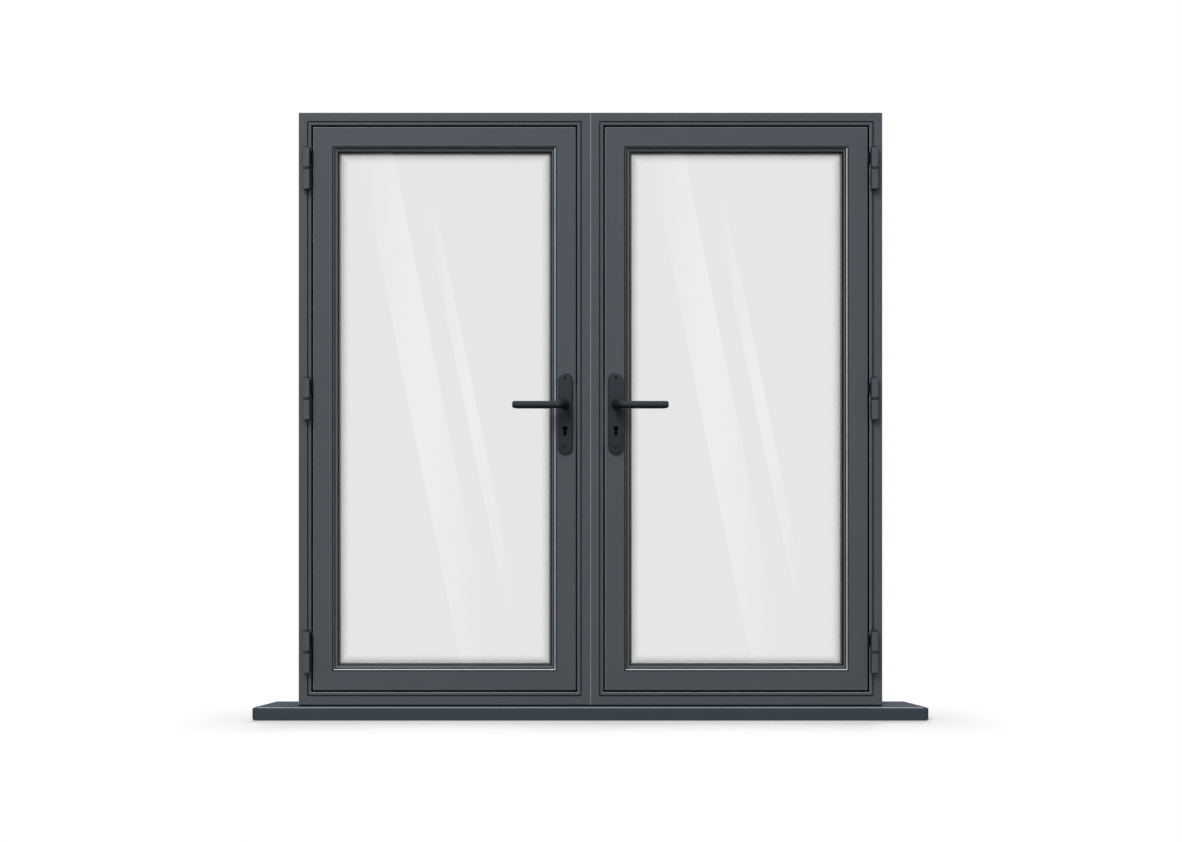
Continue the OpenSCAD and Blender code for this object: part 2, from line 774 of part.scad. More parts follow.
// A countersunk head in the plate's outside face, with room all round
module screw_head(room) {
    head_h = screw_head_r - screw_r;
    translate([0, -plate_t + head_h, 0]) rotate([90, 0, 0])
        cylinder(r1 = screw_r + room, r2 = screw_head_r + room, h = head_h);
}

module outside_plate() plate();
module inside_plate() on_inside() plate();

module screw_end() {
    difference() {
        screw_head(0);
        translate([0, -plate_t + socket_t, 0]) rotate([90, 0, 0])
            cylinder(r = socket_w / 2, h = socket_t + cut, $fn = 6);
    }
}

module plate_screws() {
    head_h = screw_head_r - screw_r;
    color(steel) in_lock() for (z = [screw_up, -screw_down]) translate([backset, 0, z]) {
        rod_y(screw_r, -plate_t + head_h, frame_d + plate_t - head_h);
        screw_end();
        on_inside() screw_end();
    }
}

module lever() {
    shoulder = -plate_t - boss_t - lever_gap;
    tail = -plate_t / 4;
    grip_len = lever_len - bend_r;
    bend_y = -lever_out + bend_r;
    color(handle_grey) in_lock() translate([backset, 0, 0]) difference() {
        union() {
            rod_y(journal_r, shoulder - cut, tail);
            rod_y(lever_r, bend_y, shoulder);
            translate([bend_r, bend_y, 0]) rotate([0, 0, 180]) rotate_extrude(angle = 90)
                translate([bend_r, 0]) circle(r = lever_r);
            translate([bend_r, -lever_out, 0]) rotate([0, 90, 0]) rotate_extrude() intersection() {
                union() {
                    square([lever_r, grip_len - tip_r]);
                    square([lever_r - tip_r, grip_len]);
                    translate([lever_r - tip_r, grip_len - tip_r]) circle(r = tip_r);
                }
                square([lever_r, grip_len]);
            }
        }
        socket = spindle_w + 2 * spindle_fit;
        translate([-socket / 2, tail - spindle_grip, -socket / 2]) cube([socket, spindle_grip + cut, socket]);
    }
}

module outside_lever() lever();
module inside_lever() on_inside() lever();

module spindle() {
    end = plate_t / 4 + spindle_grip - cut;
    color(steel) in_lock() translate([backset, 0, 0]) {
        translate([-spindle_w / 2, -end, -spindle_w / 2]) cube([spindle_w, frame_d + 2 * end, spindle_w]);
        rod_y(follower_r, lock_y - case_t / 2, lock_y + case_t / 2);
    }
}

// Locks

module lock_case() {
    case_h = case_up + case_down;
    dead_channel = dead_len + cut;
    latch_channel = latch_len + latch_throw + cut;
    color(steel) in_lock() difference() {
        union() {
            translate([-faceplate_t, lock_y - faceplate_w / 2, -case_down - faceplate_end])
                cube([faceplate_t, faceplate_w, case_h + 2 * faceplate_end]);
            translate([0, lock_y - case_t / 2, -case_down]) cube([case_d, case_t, case_h]);
        }
        bolt_channel(latch_up, latch_h, latch_channel);
        bolt_channel(-dead_drop, dead_h, dead_channel);
        translate([backset, 0, 0]) {
            rod_y(follower_r + follower_fit, -cut, frame_d);
            translate([0, frame_d, -cylinder_drop]) rotate([90, 0, 0])
                linear_extrude(frame_d) euro_profile(cylinder_fit);
        }
    }
}

module bolt_channel(z, h, len) {
    translate([-faceplate_t - cut, lock_y - bolt_t / 2 - bolt_fit, z - h / 2 - bolt_fit])
        cube([len + cut, bolt_t + 2 * bolt_fit, h + 2 * bolt_fit]);
}

// The latch's bevelled nose faces the outside, so that the keep pushes it in as the leaf closes
module latch_bolt() {
    nose = -faceplate_t - latch_throw;
    tail = latch_len - faceplate_t;
    half = bolt_t / 2;
    color(steel) in_lock() translate([0, lock_y, latch_up - latch_h / 2]) linear_extrude(latch_h)
        polygon([[nose, -half], [nose + edge_r, -half], [tail, -half], [tail, half],
            [nose + bolt_t - edge_r, half], [nose, edge_r - half]]);
}

module dead_bolt() {
    color(steel) in_lock() translate([-faceplate_t, lock_y - bolt_t / 2, -dead_drop - dead_h / 2])
        cube([dead_len, bolt_t, dead_h]);
}

module cylinder_body() {
    end = plate_t - cylinder_set;
    color(handle_grey) in_lock() translate([backset, 0, -cylinder_drop]) difference() {
        translate([0, frame_d + end, 0]) rotate([90, 0, 0]) linear_extrude(frame_d + 2 * end) euro_profile();
        rod_y(plug_r + plug_fit, -end - cut, frame_d + end + cut);
    }
}

module cylinder_plug() {
    end = plate_t - cylinder_set;
    color(steel) in_lock() translate([backset, 0, -cylinder_drop]) difference() {
        rod_y(plug_r, -end, frame_d + end);
        for (y = [-end - cut, frame_d + end - keyway_t])
            translate([-keyway_w / 2, y, -keyway_h / 2]) cube([keyway_w, keyway_t + cut, keyway_h]);
    }
}

sill();
sill_seal();
frame_coupler();
frame_seals();
lock_keeps();
hinge_pins();
for (side = SIDES) {
    on_side(side) sill_end_cap();
    on_side(side) frame_head();
    on_side(side) frame_hinge_jamb();
    on_side(side) frame_lock_jamb();
    on_side(side) frame_threshold();
    on_side(side) hinge_frame_knuckles();
    on_side(side) hinge_stile();
    on_side(side) lock_stile();
    on_side(side) top_rail();
    on_side(side) bottom_rail();
    on_side(side) glazing_beads();
    on_side(side) glass_panes();
    on_side(side) glass_spacer();
    on_side(side) glazing_gaskets();
    on_side(side) glazing_blocks();
    on_side(side) hinge_leaf_knuckles();
    on_side(side) outside_plate();
    on_side(side) inside_plate();
    on_side(side) plate_screws();
    on_side(side) lock_case();
    on_side(side) cylinder_body();
    on_side(side) outside_lever();
    on_side(side) inside_lever();
    on_side(side) spindle();
    on_side(side) latch_bolt();
    on_side(side) dead_bolt();
    on_side(side) cylinder_plug();
}
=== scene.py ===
# %% [markdown]
# # French doors
# Two glazed doors stand closed in coupled frames on one sill, and are seen straight on from outside.
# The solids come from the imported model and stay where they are. This lesson gives each of them the finish
# of its real material, and models anew the pieces whose soft edges matter to the eye. Lengths are in metres.

# %% Load the solids
import json
import math

import bmesh
import bpy
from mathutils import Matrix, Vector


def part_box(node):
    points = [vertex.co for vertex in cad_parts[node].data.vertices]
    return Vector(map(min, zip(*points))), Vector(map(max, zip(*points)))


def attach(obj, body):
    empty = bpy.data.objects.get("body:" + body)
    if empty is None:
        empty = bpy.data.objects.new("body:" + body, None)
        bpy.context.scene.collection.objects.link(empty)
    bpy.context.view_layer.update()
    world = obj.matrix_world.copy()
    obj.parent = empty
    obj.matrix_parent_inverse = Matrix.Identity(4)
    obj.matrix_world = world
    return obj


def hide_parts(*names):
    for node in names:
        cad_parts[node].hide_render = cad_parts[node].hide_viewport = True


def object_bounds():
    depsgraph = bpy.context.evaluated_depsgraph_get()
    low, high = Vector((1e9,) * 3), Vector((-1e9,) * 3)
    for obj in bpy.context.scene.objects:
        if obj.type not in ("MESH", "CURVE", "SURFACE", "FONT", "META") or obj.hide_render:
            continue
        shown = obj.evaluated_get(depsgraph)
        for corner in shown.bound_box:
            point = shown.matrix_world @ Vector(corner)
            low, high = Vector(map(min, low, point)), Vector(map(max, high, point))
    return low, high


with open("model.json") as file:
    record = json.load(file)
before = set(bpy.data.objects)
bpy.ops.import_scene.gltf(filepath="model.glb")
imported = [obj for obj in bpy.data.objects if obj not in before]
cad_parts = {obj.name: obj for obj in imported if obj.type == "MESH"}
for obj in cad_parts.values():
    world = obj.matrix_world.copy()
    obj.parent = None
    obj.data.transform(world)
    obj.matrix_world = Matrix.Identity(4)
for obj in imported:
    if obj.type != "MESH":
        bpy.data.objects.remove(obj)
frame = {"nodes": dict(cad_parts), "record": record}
cad_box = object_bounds()
nodes = frame["nodes"]
MM = 0.001
TINY = 0.01 * MM
bpy.ops.object.select_all(action="DESELECT")
print("solids:", len(nodes), "box:", [tuple(round(v, 3) for v in corner) for corner in cad_box])

# %% [markdown]
# The picture is nearly an elevation: no side of a jamb shows, yet the sill's top does, and its ends lean
# inward as they go back. A camera level with the middle of the doors and a few metres back gives both.
# A long lens from further off would flatten the sill to a line, so the distance was found from that sill.

# %% Camera
CAMERA_BACK = 5.5
CAMERA_SIDE = 0.002
CAMERA_HEIGHT = 1.0325
SENSOR_MM = 36.0
WIDTH_SEEN = 4.0890  # what the picture's width spans in the plane of the frames' faces

bpy.ops.object.camera_add(location=(CAMERA_SIDE, -CAMERA_BACK, CAMERA_HEIGHT),
                          rotation=(math.pi / 2, 0, 0))
camera = bpy.context.object
camera.name = "camera"
camera.data.sensor_width = SENSOR_MM
camera.data.lens = SENSOR_MM * CAMERA_BACK / WIDTH_SEEN
bpy.context.scene.camera = camera
bpy.context.scene.view_settings.view_transform = "Standard"
print("lens:", round(camera.data.lens, 1), "mm")

# %% [markdown]
# Every finish below is a small tree of shader nodes. Trees could be drawn in the node editor, but written
# out they can be read and changed line by line. One function adds a node with its settings and links, one
# starts a material with an empty tree, and one turns a colour as it is picked from a picture into the
# linear values that light is counted in.


# %% Helpers for shader trees
def add(tree, kind, inputs=None, **settings):
    """Adds a node. Each input takes a plain value, or another node's output to link to."""
    node = tree.nodes.new(kind)
    for name, value in settings.items():
        setattr(node, name, value)
    for name, value in (inputs or {}).items():
        if isinstance(value, bpy.types.NodeSocket):
            tree.links.new(value, node.inputs[name])
        else:
            node.inputs[name].default_value = value
    return node


def new_material(name):
    """A material with an empty tree."""
    material = bpy.data.materials.new(name)
    material.use_nodes = True
    material.node_tree.nodes.clear()
    return material


def linear(hex_colour):
    """An sRGB hex colour as linear red, green, blue and alpha."""
    channels = [int(hex_colour[i:i + 2], 16) / 255 for i in (1, 3, 5)]
    return (*[c / 12.92 if c <= 0.04045 else ((c + 0.055) / 1.055) ** 2.4 for c in channels], 1.0)


# %% [markdown]
# The set is shown on plain white. A white wall behind it would need so much light that the doors burn out.
# So the world itself is white: the eye, and what it sees in glass and gloss, meets a strength of 1, while
# the light that falls on the doors is a softer grey, weaker from below.

# %% White world with a softer ambient light
AMBIENT_ABOVE = 0.55
AMBIENT_BELOW = 0.14
WHITE = (1, 1, 1, 1)


def looked_at(tree):
    """1 for what the eye sees, also in a mirror or through glass, and 0 for what only gives light."""
    path = add(tree, "ShaderNodeLightPath").outputs
    mirror_or_eye = add(tree, "ShaderNodeMath", {0: path["Is Camera Ray"], 1: path["Is Glossy Ray"]},
                        operation="MAXIMUM")
    seen = add(tree, "ShaderNodeMath", {0: mirror_or_eye.outputs[0], 1: path["Is Transmission Ray"]},
               operation="MAXIMUM")
    return seen.outputs[0]


world = bpy.data.worlds.new("studio_white")
bpy.context.scene.world = world
world.use_nodes = True
tree = world.node_tree
tree.nodes.clear()
direction = add(tree, "ShaderNodeTexCoord").outputs["Generated"]
upwards = add(tree, "ShaderNodeSeparateXYZ", {0: direction}).outputs["Z"]
level = add(tree, "ShaderNodeMapRange", {"Value": upwards, "From Min": -1.0, "From Max": 1.0,
                                         "To Min": AMBIENT_BELOW, "To Max": AMBIENT_ABOVE})
ambient = add(tree, "ShaderNodeBackground", {"Color": WHITE, "Strength": level.outputs[0]})
white = add(tree, "ShaderNodeBackground", {"Color": WHITE, "Strength": 1.0})
mixed = add(tree, "ShaderNodeMixShader", {0: looked_at(tree), 1: ambient.outputs[0], 2: white.outputs[0]})
add(tree, "ShaderNodeOutputWorld", {"Surface": mixed.outputs[0]})
print("world:", world.name)

# %% [markdown]
# The floor is a pale sheet that keeps the shadow under the sill. A studio backdrop bends up behind the set,
# but its bend would show from other sides. This sheet lies flat, and further out it turns to plain white,
# so that it meets the world without a horizon. It throws only a little light back up, as a dull floor does,
# which keeps the undersides of the levers and rails dark.

# %% Floor
FLOOR_SIZE = 60.0
FLOOR_DROP = 0.5 * MM
FADE_FROM = 0.03
FADE_TO = 0.3

bpy.ops.mesh.primitive_plane_add(size=FLOOR_SIZE, location=(0, 0, -FLOOR_DROP))
floor = bpy.context.object
floor.name = "studio_floor"
material = new_material("pale_floor_sheet")
tree = material.node_tree
seen = looked_at(tree)
place = add(tree, "ShaderNodeTexCoord").outputs["Object"]
at = add(tree, "ShaderNodeSeparateXYZ", {0: place}).outputs
off_middle = add(tree, "ShaderNodeMath", {0: at["X"]}, operation="ABSOLUTE")
past_end = add(tree, "ShaderNodeMath", {0: off_middle.outputs[0], 1: cad_box[1].x}, operation="SUBTRACT")
off_sill = add(tree, "ShaderNodeMath", {0: at["Y"]}, operation="ABSOLUTE")
reach = add(tree, "ShaderNodeMath", {0: past_end.outputs[0], 1: off_sill.outputs[0], 2: FADE_TO},
            operation="SMOOTH_MAX")
fade = add(tree, "ShaderNodeMapRange", {"Value": reach.outputs[0], "From Min": FADE_FROM,
                                        "From Max": FADE_TO}, interpolation_type="SMOOTHSTEP")
whiten = add(tree, "ShaderNodeMath", {0: fade.outputs[0], 1: seen}, operation="MULTIPLY")
tone = add(tree, "ShaderNodeMix", {0: seen, 6: linear("#727272"), 7: linear("#f4f4f4")}, data_type="RGBA")
dull = add(tree, "ShaderNodeBsdfDiffuse", {"Color": tone.outputs[2]})
glow = add(tree, "ShaderNodeEmission", {"Color": WHITE, "Strength": 1.0})
mixed = add(tree, "ShaderNodeMixShader", {0: whiten.outputs[0], 1: dull.outputs[0], 2: glow.outputs[0]})
add(tree, "ShaderNodeOutputMaterial", {"Surface": mixed.outputs[0]})
floor.data.materials.append(material)
print("floor:", floor.name)

# %% [markdown]
# A big soft lamp stands high on the left in front, and the white world does the rest, so the faces grow a
# little darker towards the sill. A smaller one lights the side that faces the room. The same watts look
# dimmer on a bigger lamp, so each lamp is given a brightness per area, and its watts follow from its size.

# %% Lamps
KEY_RADIANCE = 8.0
ROOM_RADIANCE = 5.0
DOORS_MIDDLE = (0, 0, 1.0)


def soft_lamp(name, location, aim, size, radiance):
    """A rectangular lamp of a given brightness per area, turned to face a point."""
    bpy.ops.object.light_add(type="AREA", location=location)
    lamp = bpy.context.object
    lamp.name = name
    lamp.data.shape = "RECTANGLE"
    lamp.data.size = size[0]
    lamp.data.size_y = size[1]
    lamp.data.energy = radiance * math.pi * size[0] * size[1]
    reach = [a - b for a, b in zip(aim, location)]
    flat = math.hypot(reach[0], reach[1])
    lamp.rotation_euler = (math.atan2(flat, -reach[2]), 0, math.atan2(reach[1], reach[0]) - math.pi / 2)
    return lamp


key = soft_lamp("key_lamp", (-4.0, -8.0, 9.5), DOORS_MIDDLE, (6.0, 6.0), KEY_RADIANCE)
fill = soft_lamp("room_lamp", (3.0, 7.0, 6.5), DOORS_MIDDLE, (4.0, 4.0), ROOM_RADIANCE)
print("lamps:", key.name, fill.name)

# %% [markdown]
# Two slanting streaks cross each pane, as when bright windows stand behind the viewer. They could be
# painted into the glass, but there they would stay put while the eye moves. So slim lamps stand in front of
# the doors, where the panes mirror them towards the camera, and nothing but gloss shows them. Each is
# brightest at one place across the doors and fades to both sides.

# %% Streaks mirrored in the panes
STREAK_FRONT = 1.2
STREAK_RADIANCE = 1.6
DOOR_PITCH = 1.01
# Each streak on the left pane, in the plane of the doors: its top and bottom point, its width, where it is
# brightest, and how far it fades to either side
STREAKS = (
    ((-0.746, 1.963), (-0.389, 0.186), 0.122, -0.588, 0.225),
    ((-0.598, 1.963), (-0.230, 0.186), 0.042, -0.419, 0.156),
)

# A mirrored lamp seems to stand as far behind a pane as it stands in front, so it is made larger by this
spread = (CAMERA_BACK + STREAK_FRONT) / CAMERA_BACK
for door in range(2):
    for number, (top, bottom, width, peak, fade) in enumerate(STREAKS):
        ends = [(CAMERA_SIDE + (x + door * DOOR_PITCH - CAMERA_SIDE) * spread,
                 CAMERA_HEIGHT + (z - CAMERA_HEIGHT) * spread) for x, z in (top, bottom)]
        peak_x = CAMERA_SIDE + (peak + door * DOOR_PITCH - CAMERA_SIDE) * spread
        lean = (ends[1][0] - ends[0][0], ends[0][1] - ends[1][1])
        length = math.hypot(*lean)
        middle = [(a + b) / 2 for a, b in zip(*ends)]
        size = (width * spread * lean[1] / length, length)
        strip = soft_lamp(f"streak_lamp_{door}_{number}", (middle[0], -STREAK_FRONT, middle[1]),
                          (middle[0], 0, middle[1]), size, STREAK_RADIANCE)
        strip.rotation_euler = (math.pi / 2, -math.atan2(*lean), 0)
        strip.visible_camera = False
        strip.visible_diffuse = False
        strip.visible_transmission = False
        strip.data.use_nodes = True
        tree = strip.data.node_tree
        tree.nodes.clear()
        spot = add(tree, "ShaderNodeNewGeometry").outputs["Position"]
        across = add(tree, "ShaderNodeSeparateXYZ", {0: spot}).outputs["X"]
        past = add(tree, "ShaderNodeMath", {0: across, 1: peak_x}, operation="SUBTRACT")
        off_peak = add(tree, "ShaderNodeMath", {0: past.outputs[0]}, operation="ABSOLUTE")
        level = add(tree, "ShaderNodeMapRange", {"Value": off_peak.outputs[0], "From Max": fade * spread,
                                                 "To Min": 1.0, "To Max": 0.0})
        glow = add(tree, "ShaderNodeEmission", {"Strength": level.outputs[0]})
        add(tree, "ShaderNodeOutputLight", {"Surface": glow.outputs[0]})
print("streak lamps:", 2 * len(STREAKS))

# %% [markdown]
# ## Finishes
# Frames, leaves, hinges and sill are aluminium extrusions under powder coat. The powder melts to a satin
# skin with a faint orange peel a few millimetres across, and its tone drifts a little over a metre of bar.
# Where a bar closes in on itself, in quirks and grooves, the coat is darkened as painted shade. Scanned
# pictures could give such a skin, but noise at its real scale needs no seams and fits every bar. The same
# small tree serves each coat with its own colour, because the makers too only change the powder.

# %% Powder coats
DRIFT_MM = 400
CREASE_MM = 7
CREASE_SHADE_TONE = "#101214"
CREASE_SHUT = 0.25  # the open share of the air round a point at which a crease is darkest
CREASE_OPEN = 0.65
GLOSS_GRAIN_MM = 6
GLOSS_CHANGE = 0.04
LACQUER_IOR = 1.5


def powder_coat(name, dark, light, roughness, shine, peel_mm, peel_depth_mm):
    """Satin powder coat: a drifting tone, painted shade in creases, a grain in the gloss and an orange-peel
    skin.
    """
    material = new_material(name)
    tree = material.node_tree
    place = add(tree, "ShaderNodeTexCoord").outputs["Object"]
    drift = add(tree, "ShaderNodeTexNoise", {"Vector": place, "Scale": 1 / (DRIFT_MM * MM), "Detail": 3.0})
    clean = add(tree, "ShaderNodeMix", {0: drift.outputs["Fac"], 6: linear(dark), 7: linear(light)},
                data_type="RGBA")
    # Painted shade: where the air round a point is shut in, the coat is darkened towards the crease tone
    crease = add(tree, "ShaderNodeAmbientOcclusion", {"Distance": CREASE_MM * MM}, samples=8,
                 only_local=True)
    open_air = add(tree, "ShaderNodeMapRange", {"Value": crease.outputs["AO"], "From Min": CREASE_SHUT,
                                                "From Max": CREASE_OPEN}, interpolation_type="SMOOTHSTEP")
    tone = add(tree, "ShaderNodeMix", {0: open_air.outputs[0], 6: linear(CREASE_SHADE_TONE), 7: clean.outputs[2]},
               data_type="RGBA")
    grain = add(tree, "ShaderNodeTexNoise", {"Vector": place, "Scale": 1 / (GLOSS_GRAIN_MM * MM),
                                             "Detail": 2.0})
    gloss = add(tree, "ShaderNodeMapRange", {"Value": grain.outputs["Fac"],
                                             "To Min": roughness - GLOSS_CHANGE,
                                             "To Max": roughness + GLOSS_CHANGE})
    peel = add(tree, "ShaderNodeTexNoise", {"Vector": place, "Scale": 1 / (peel_mm * MM), "Detail": 1.0})
    skin = add(tree, "ShaderNodeBump", {"Height": peel.outputs["Fac"], "Strength": 1.0,
                                        "Distance": peel_depth_mm * MM})
    shader = add(tree, "ShaderNodeBsdfPrincipled", {
        "Base Color": tone.outputs[2], "Roughness": gloss.outputs[0], "Normal": skin.outputs[0],
        "Metallic": 0.0, "IOR": LACQUER_IOR, "Specular IOR Level": shine})
    add(tree, "ShaderNodeOutputMaterial", {"Surface": shader.outputs[0]})
    return material


FINISHES = {
    # Anthracite coat of the frames and leaves: an even satin grey with a cool cast
    "profile_coat": powder_coat("anthracite_powder_coat", "#565c62", "#5b6167", 0.35, 0.15, 4, 0.006),
    # The hinges come from another shop, and their coat is a shade bluer
    "hinge_coat": powder_coat("hinge_powder_coat", "#595f67", "#5e646c", 0.45, 0.08, 3, 0.01),
    # The pins and their collars sit between the knuckles, and their coat is painted darker as shade
    "pin_coat": powder_coat("pin_powder_coat", "#484d53", "#4d5258", 0.5, 0.08, 3, 0.02),
    # The sill's coat is darker and bluer than the frames', and so dull that it hardly shines
    "sill_coat": powder_coat("sill_powder_coat", "#49525b", "#4d565f", 0.6, 0.02, 4, 0.02),
    # Handles have a fine near-black coat, which only the light makes grey
    "handle_coat": powder_coat("handle_powder_coat", "#3f454b", "#444a50", 0.5, 0.03, 2, 0.015),
}
print("coats:", sorted(FINISHES))

# %% [markdown]
# Some coats take a second tone in places. A face could be given a material of its own, but each bar is one
# solid whose mesh stays as it is. So the tone is laid over the coat where a mask says so.
#
# A warm door's bars are two shells of aluminium held apart by black polyamide, and the strip shows along
# the sides of each bar; its black band also serves as painted shade on the sides of the gaps. The walls of
# the gap round a leaf are painted black as shade as well, which makes the gap one black line. Both are told
# by where a point lies: by its depth in the door, and for the gap's walls also by how far it lies inside the
# frame's rebate.

# %% Thermal break, and painted shade in the rebate
BREAK_MIDDLE = 26.0 * MM
BREAK_HALF = 13.5 * MM
LEAF_GAP = 7.0 * MM
SHADE_FROM = 2.5 * MM
SHADE_TO = 50.0 * MM
SHADE_THIN = 0.4 * MM
SHADE_BLACK = "#060607"


def place_in(material):
    """The X, Y and Z of the doors' own frame, inside a material's tree."""
    place = add(material.node_tree, "ShaderNodeTexCoord").outputs["Object"]
    return add(material.node_tree, "ShaderNodeSeparateXYZ", {0: place}).outputs


def lay_over(material, where, tone):
    """Gives a finish another tone where a mask is 1."""
    tree = material.node_tree
    shader = next(node for node in tree.nodes if node.type == "BSDF_PRINCIPLED")
    colour = shader.inputs["Base Color"]
    mixed = add(tree, "ShaderNodeMix", {0: where, 6: colour.links[0].from_socket, 7: linear(tone)},
                data_type="RGBA")
    tree.links.new(mixed.outputs[2], colour)


def depth_inside(material, low, high, cover, corner_soft):
    """How far a point of either door lies inside a rectangle of the right-hand one, less a covered rim."""
    tree = material.node_tree
    at = place_in(material)
    either_door = add(tree, "ShaderNodeMath", {0: at["X"]}, operation="ABSOLUTE")
    depths = []
    for along, first, last in ((either_door.outputs[0], low.x, high.x), (at["Z"], low.z, high.z)):
        off_middle = add(tree, "ShaderNodeMath", {0: along, 1: (first + last) / 2}, operation="SUBTRACT")
        sideways = add(tree, "ShaderNodeMath", {0: off_middle.outputs[0]}, operation="ABSOLUTE")
        half = (last - first) / 2 - cover
        inwards = add(tree, "ShaderNodeMath", {0: half, 1: sideways.outputs[0]}, operation="SUBTRACT")
        depths.append(inwards.outputs[0])
    nearer = add(tree, "ShaderNodeMath", {0: depths[0], 1: depths[1], 2: corner_soft},
                 operation="SMOOTH_MIN")
    return nearer.outputs[0]


coat = FINISHES["profile_coat"]
tree = coat.node_tree
at = place_in(coat)
# The black polyamide band, which also stands in as painted shade on the sides of the gaps
in_break = add(tree, "ShaderNodeMath", {0: at["Y"], 1: BREAK_MIDDLE, 2: BREAK_HALF}, operation="COMPARE")
lay_over(coat, in_break.outputs[0], "#0b0b0c")

leaf_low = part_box("right_bottom_rail")[0]
leaf_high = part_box("right_top_rail")[1]
depth = depth_inside(coat, leaf_low, leaf_high, -LEAF_GAP, 0.0)
# Painted shade: the walls of the rebate round each leaf are laid black
on_wall = add(tree, "ShaderNodeMath", {0: depth, 1: 0.0, 2: SHADE_THIN}, operation="COMPARE")
in_rebate = add(tree, "ShaderNodeMath", {0: at["Y"], 1: (SHADE_FROM + SHADE_TO) / 2,
                                         2: (SHADE_TO - SHADE_FROM) / 2}, operation="COMPARE")
gap_shade = add(tree, "ShaderNodeMath", {0: on_wall.outputs[0], 1: in_rebate.outputs[0]}, operation="MULTIPLY")
lay_over(coat, gap_shade.outputs[0], SHADE_BLACK)
print("leaf inside its gap:", [round(v, 3) for v in (*leaf_low, *leaf_high)])

# %% [markdown]
# Where a bar's bevels lean to the left or upwards they get a painted highlight, a pale line, and those that
# lean to the right a weaker painted highlight, a shade lighter than the faces. It stands for light caught by
# a sharp edge. A lamp could give it in one view. Here the coat holds it, thin as it is on an edge, so the
# lines stay in every pose. The beads round the glass get no pale line.

# %% Painted highlights on the bevels of the bars
LEAN = math.sqrt(0.5)
BEVEL = (0.93, 0.99)
QUIRK_FROM = LEAF_GAP + 66.0 * MM
RIB_FROM = QUIRK_FROM + 3.5 * MM
BEAD_GAP_FROM = RIB_FROM + 3.5 * MM
BEADS_FROM = BEAD_GAP_FROM + 3.5 * MM


def leaning(material, direction, start, full):
    """A mask of the faces that lean one way, from where it starts to show to where it is full."""
    tree = material.node_tree
    way = add(tree, "ShaderNodeTexCoord").outputs["Normal"]
    lean = add(tree, "ShaderNodeVectorMath", {0: way, 1: direction}, operation="DOT_PRODUCT")
    mask = add(tree, "ShaderNodeMapRange", {"Value": lean.outputs["Value"], "From Min": start,
                                            "From Max": full})
    return mask.outputs[0]


to_left = leaning(coat, (-LEAN, -LEAN, 0), *BEVEL)
to_above = leaning(coat, (0, -LEAN, LEAN), *BEVEL)
either_way = add(tree, "ShaderNodeMath", {0: to_left, 1: to_above}, operation="MAXIMUM")
off_beads = add(tree, "ShaderNodeMath", {0: depth, 1: BEADS_FROM}, operation="LESS_THAN")
bevel_highlight = add(tree, "ShaderNodeMath", {0: either_way.outputs[0], 1: off_beads.outputs[0]}, operation="MULTIPLY")
# Painted highlight on bevels that lean to the left or upwards
lay_over(coat, bevel_highlight.outputs[0], "#e2e6ea")
# A weaker painted highlight on bevels that lean to the right
lay_over(coat, leaning(coat, (LEAN, -LEAN, 0), *BEVEL), "#7b8187")
print("beads start", round(BEADS_FROM / MM, 1), "mm inside the rebate")

# %% [markdown]
# Fine black lines of painted shade frame the glass: the gap outside the beads, the walls of the quirk that
# light falls on, and the beads' inner edges on the right. On the real door these are narrow gaps and edges
# in the coat's own colour, and only shade makes them dark. Shadows alone leave them grey from the front, so
# a mask paints each line black near the face.

# %% Painted shade lines round the glass
BEAD_EDGE_FROM = BEADS_FROM + 6.0 * MM
LINE_DEEP = 13.0 * MM
WALL = (0.7, 0.8)
BEAD_EDGE = (0.65, 0.7)

near_face = add(tree, "ShaderNodeMath", {0: at["Y"], 1: leaf_low.y + LINE_DEEP}, operation="LESS_THAN")
lit_wall = add(tree, "ShaderNodeMath", {0: leaning(coat, (1, 0, 0), *WALL),
                                        1: leaning(coat, (0, 0, 1), *WALL)}, operation="MAXIMUM")
bead_edge = leaning(coat, (-LEAN, -LEAN, 0), *BEAD_EDGE)
shade_lines = (
    (QUIRK_FROM, RIB_FROM, lit_wall.outputs[0]),
    (BEAD_GAP_FROM, BEADS_FROM, 1.0),
    (BEAD_EDGE_FROM, BEAD_EDGE_FROM + LINE_DEEP, bead_edge),
)
# Painted shade: each line is laid black near the face
for first, last, facing in shade_lines:
    in_line = add(tree, "ShaderNodeMath", {0: depth, 1: (first + last) / 2, 2: (last - first) / 2 + TINY},
                  operation="COMPARE")
    in_front = add(tree, "ShaderNodeMath", {0: in_line.outputs[0], 1: near_face.outputs[0]},
                   operation="MULTIPLY")
    black = add(tree, "ShaderNodeMath", {0: in_front.outputs[0], 1: facing}, operation="MULTIPLY")
    lay_over(coat, black.outputs[0], SHADE_BLACK)
print("black lines:", len(shade_lines))

# %% [markdown]
# The undersides of plates and levers get painted shade, and their upper edges are laid in one even tone, a
# faint painted highlight. The rim of a plate has a painted highlight above on the side of the glass, and
# painted shade on the side of the lock edge.
# The two doors are mirror images, so the way a rim leans is counted from the middle of the set, and one
# coat serves both.

# %% Painted shade and highlights on the handle edges
UNDERSIDE_SHADE = (0.1, 0.8)
PLATE_FRONT = 8.2 * MM  # a hair more than the plates stand out from the leaf, without their bosses
UPWARDS_SHARE = 0.7
RIM_HIGHLIGHT = (0.5, 0.9)
RIM_SHADE = (-0.05, -0.3)

coat = FINISHES["handle_coat"]
tree = coat.node_tree
at = place_in(coat)
# Painted shade on the undersides of plates and levers
lay_over(coat, leaning(coat, (0, 0, -1), *UNDERSIDE_SHADE), "#0e1012")
# A faint painted highlight on the upper edges
for outwards in (-LEAN, LEAN):
    lay_over(coat, leaning(coat, (0, outwards, LEAN), *BEVEL), "#42484e")

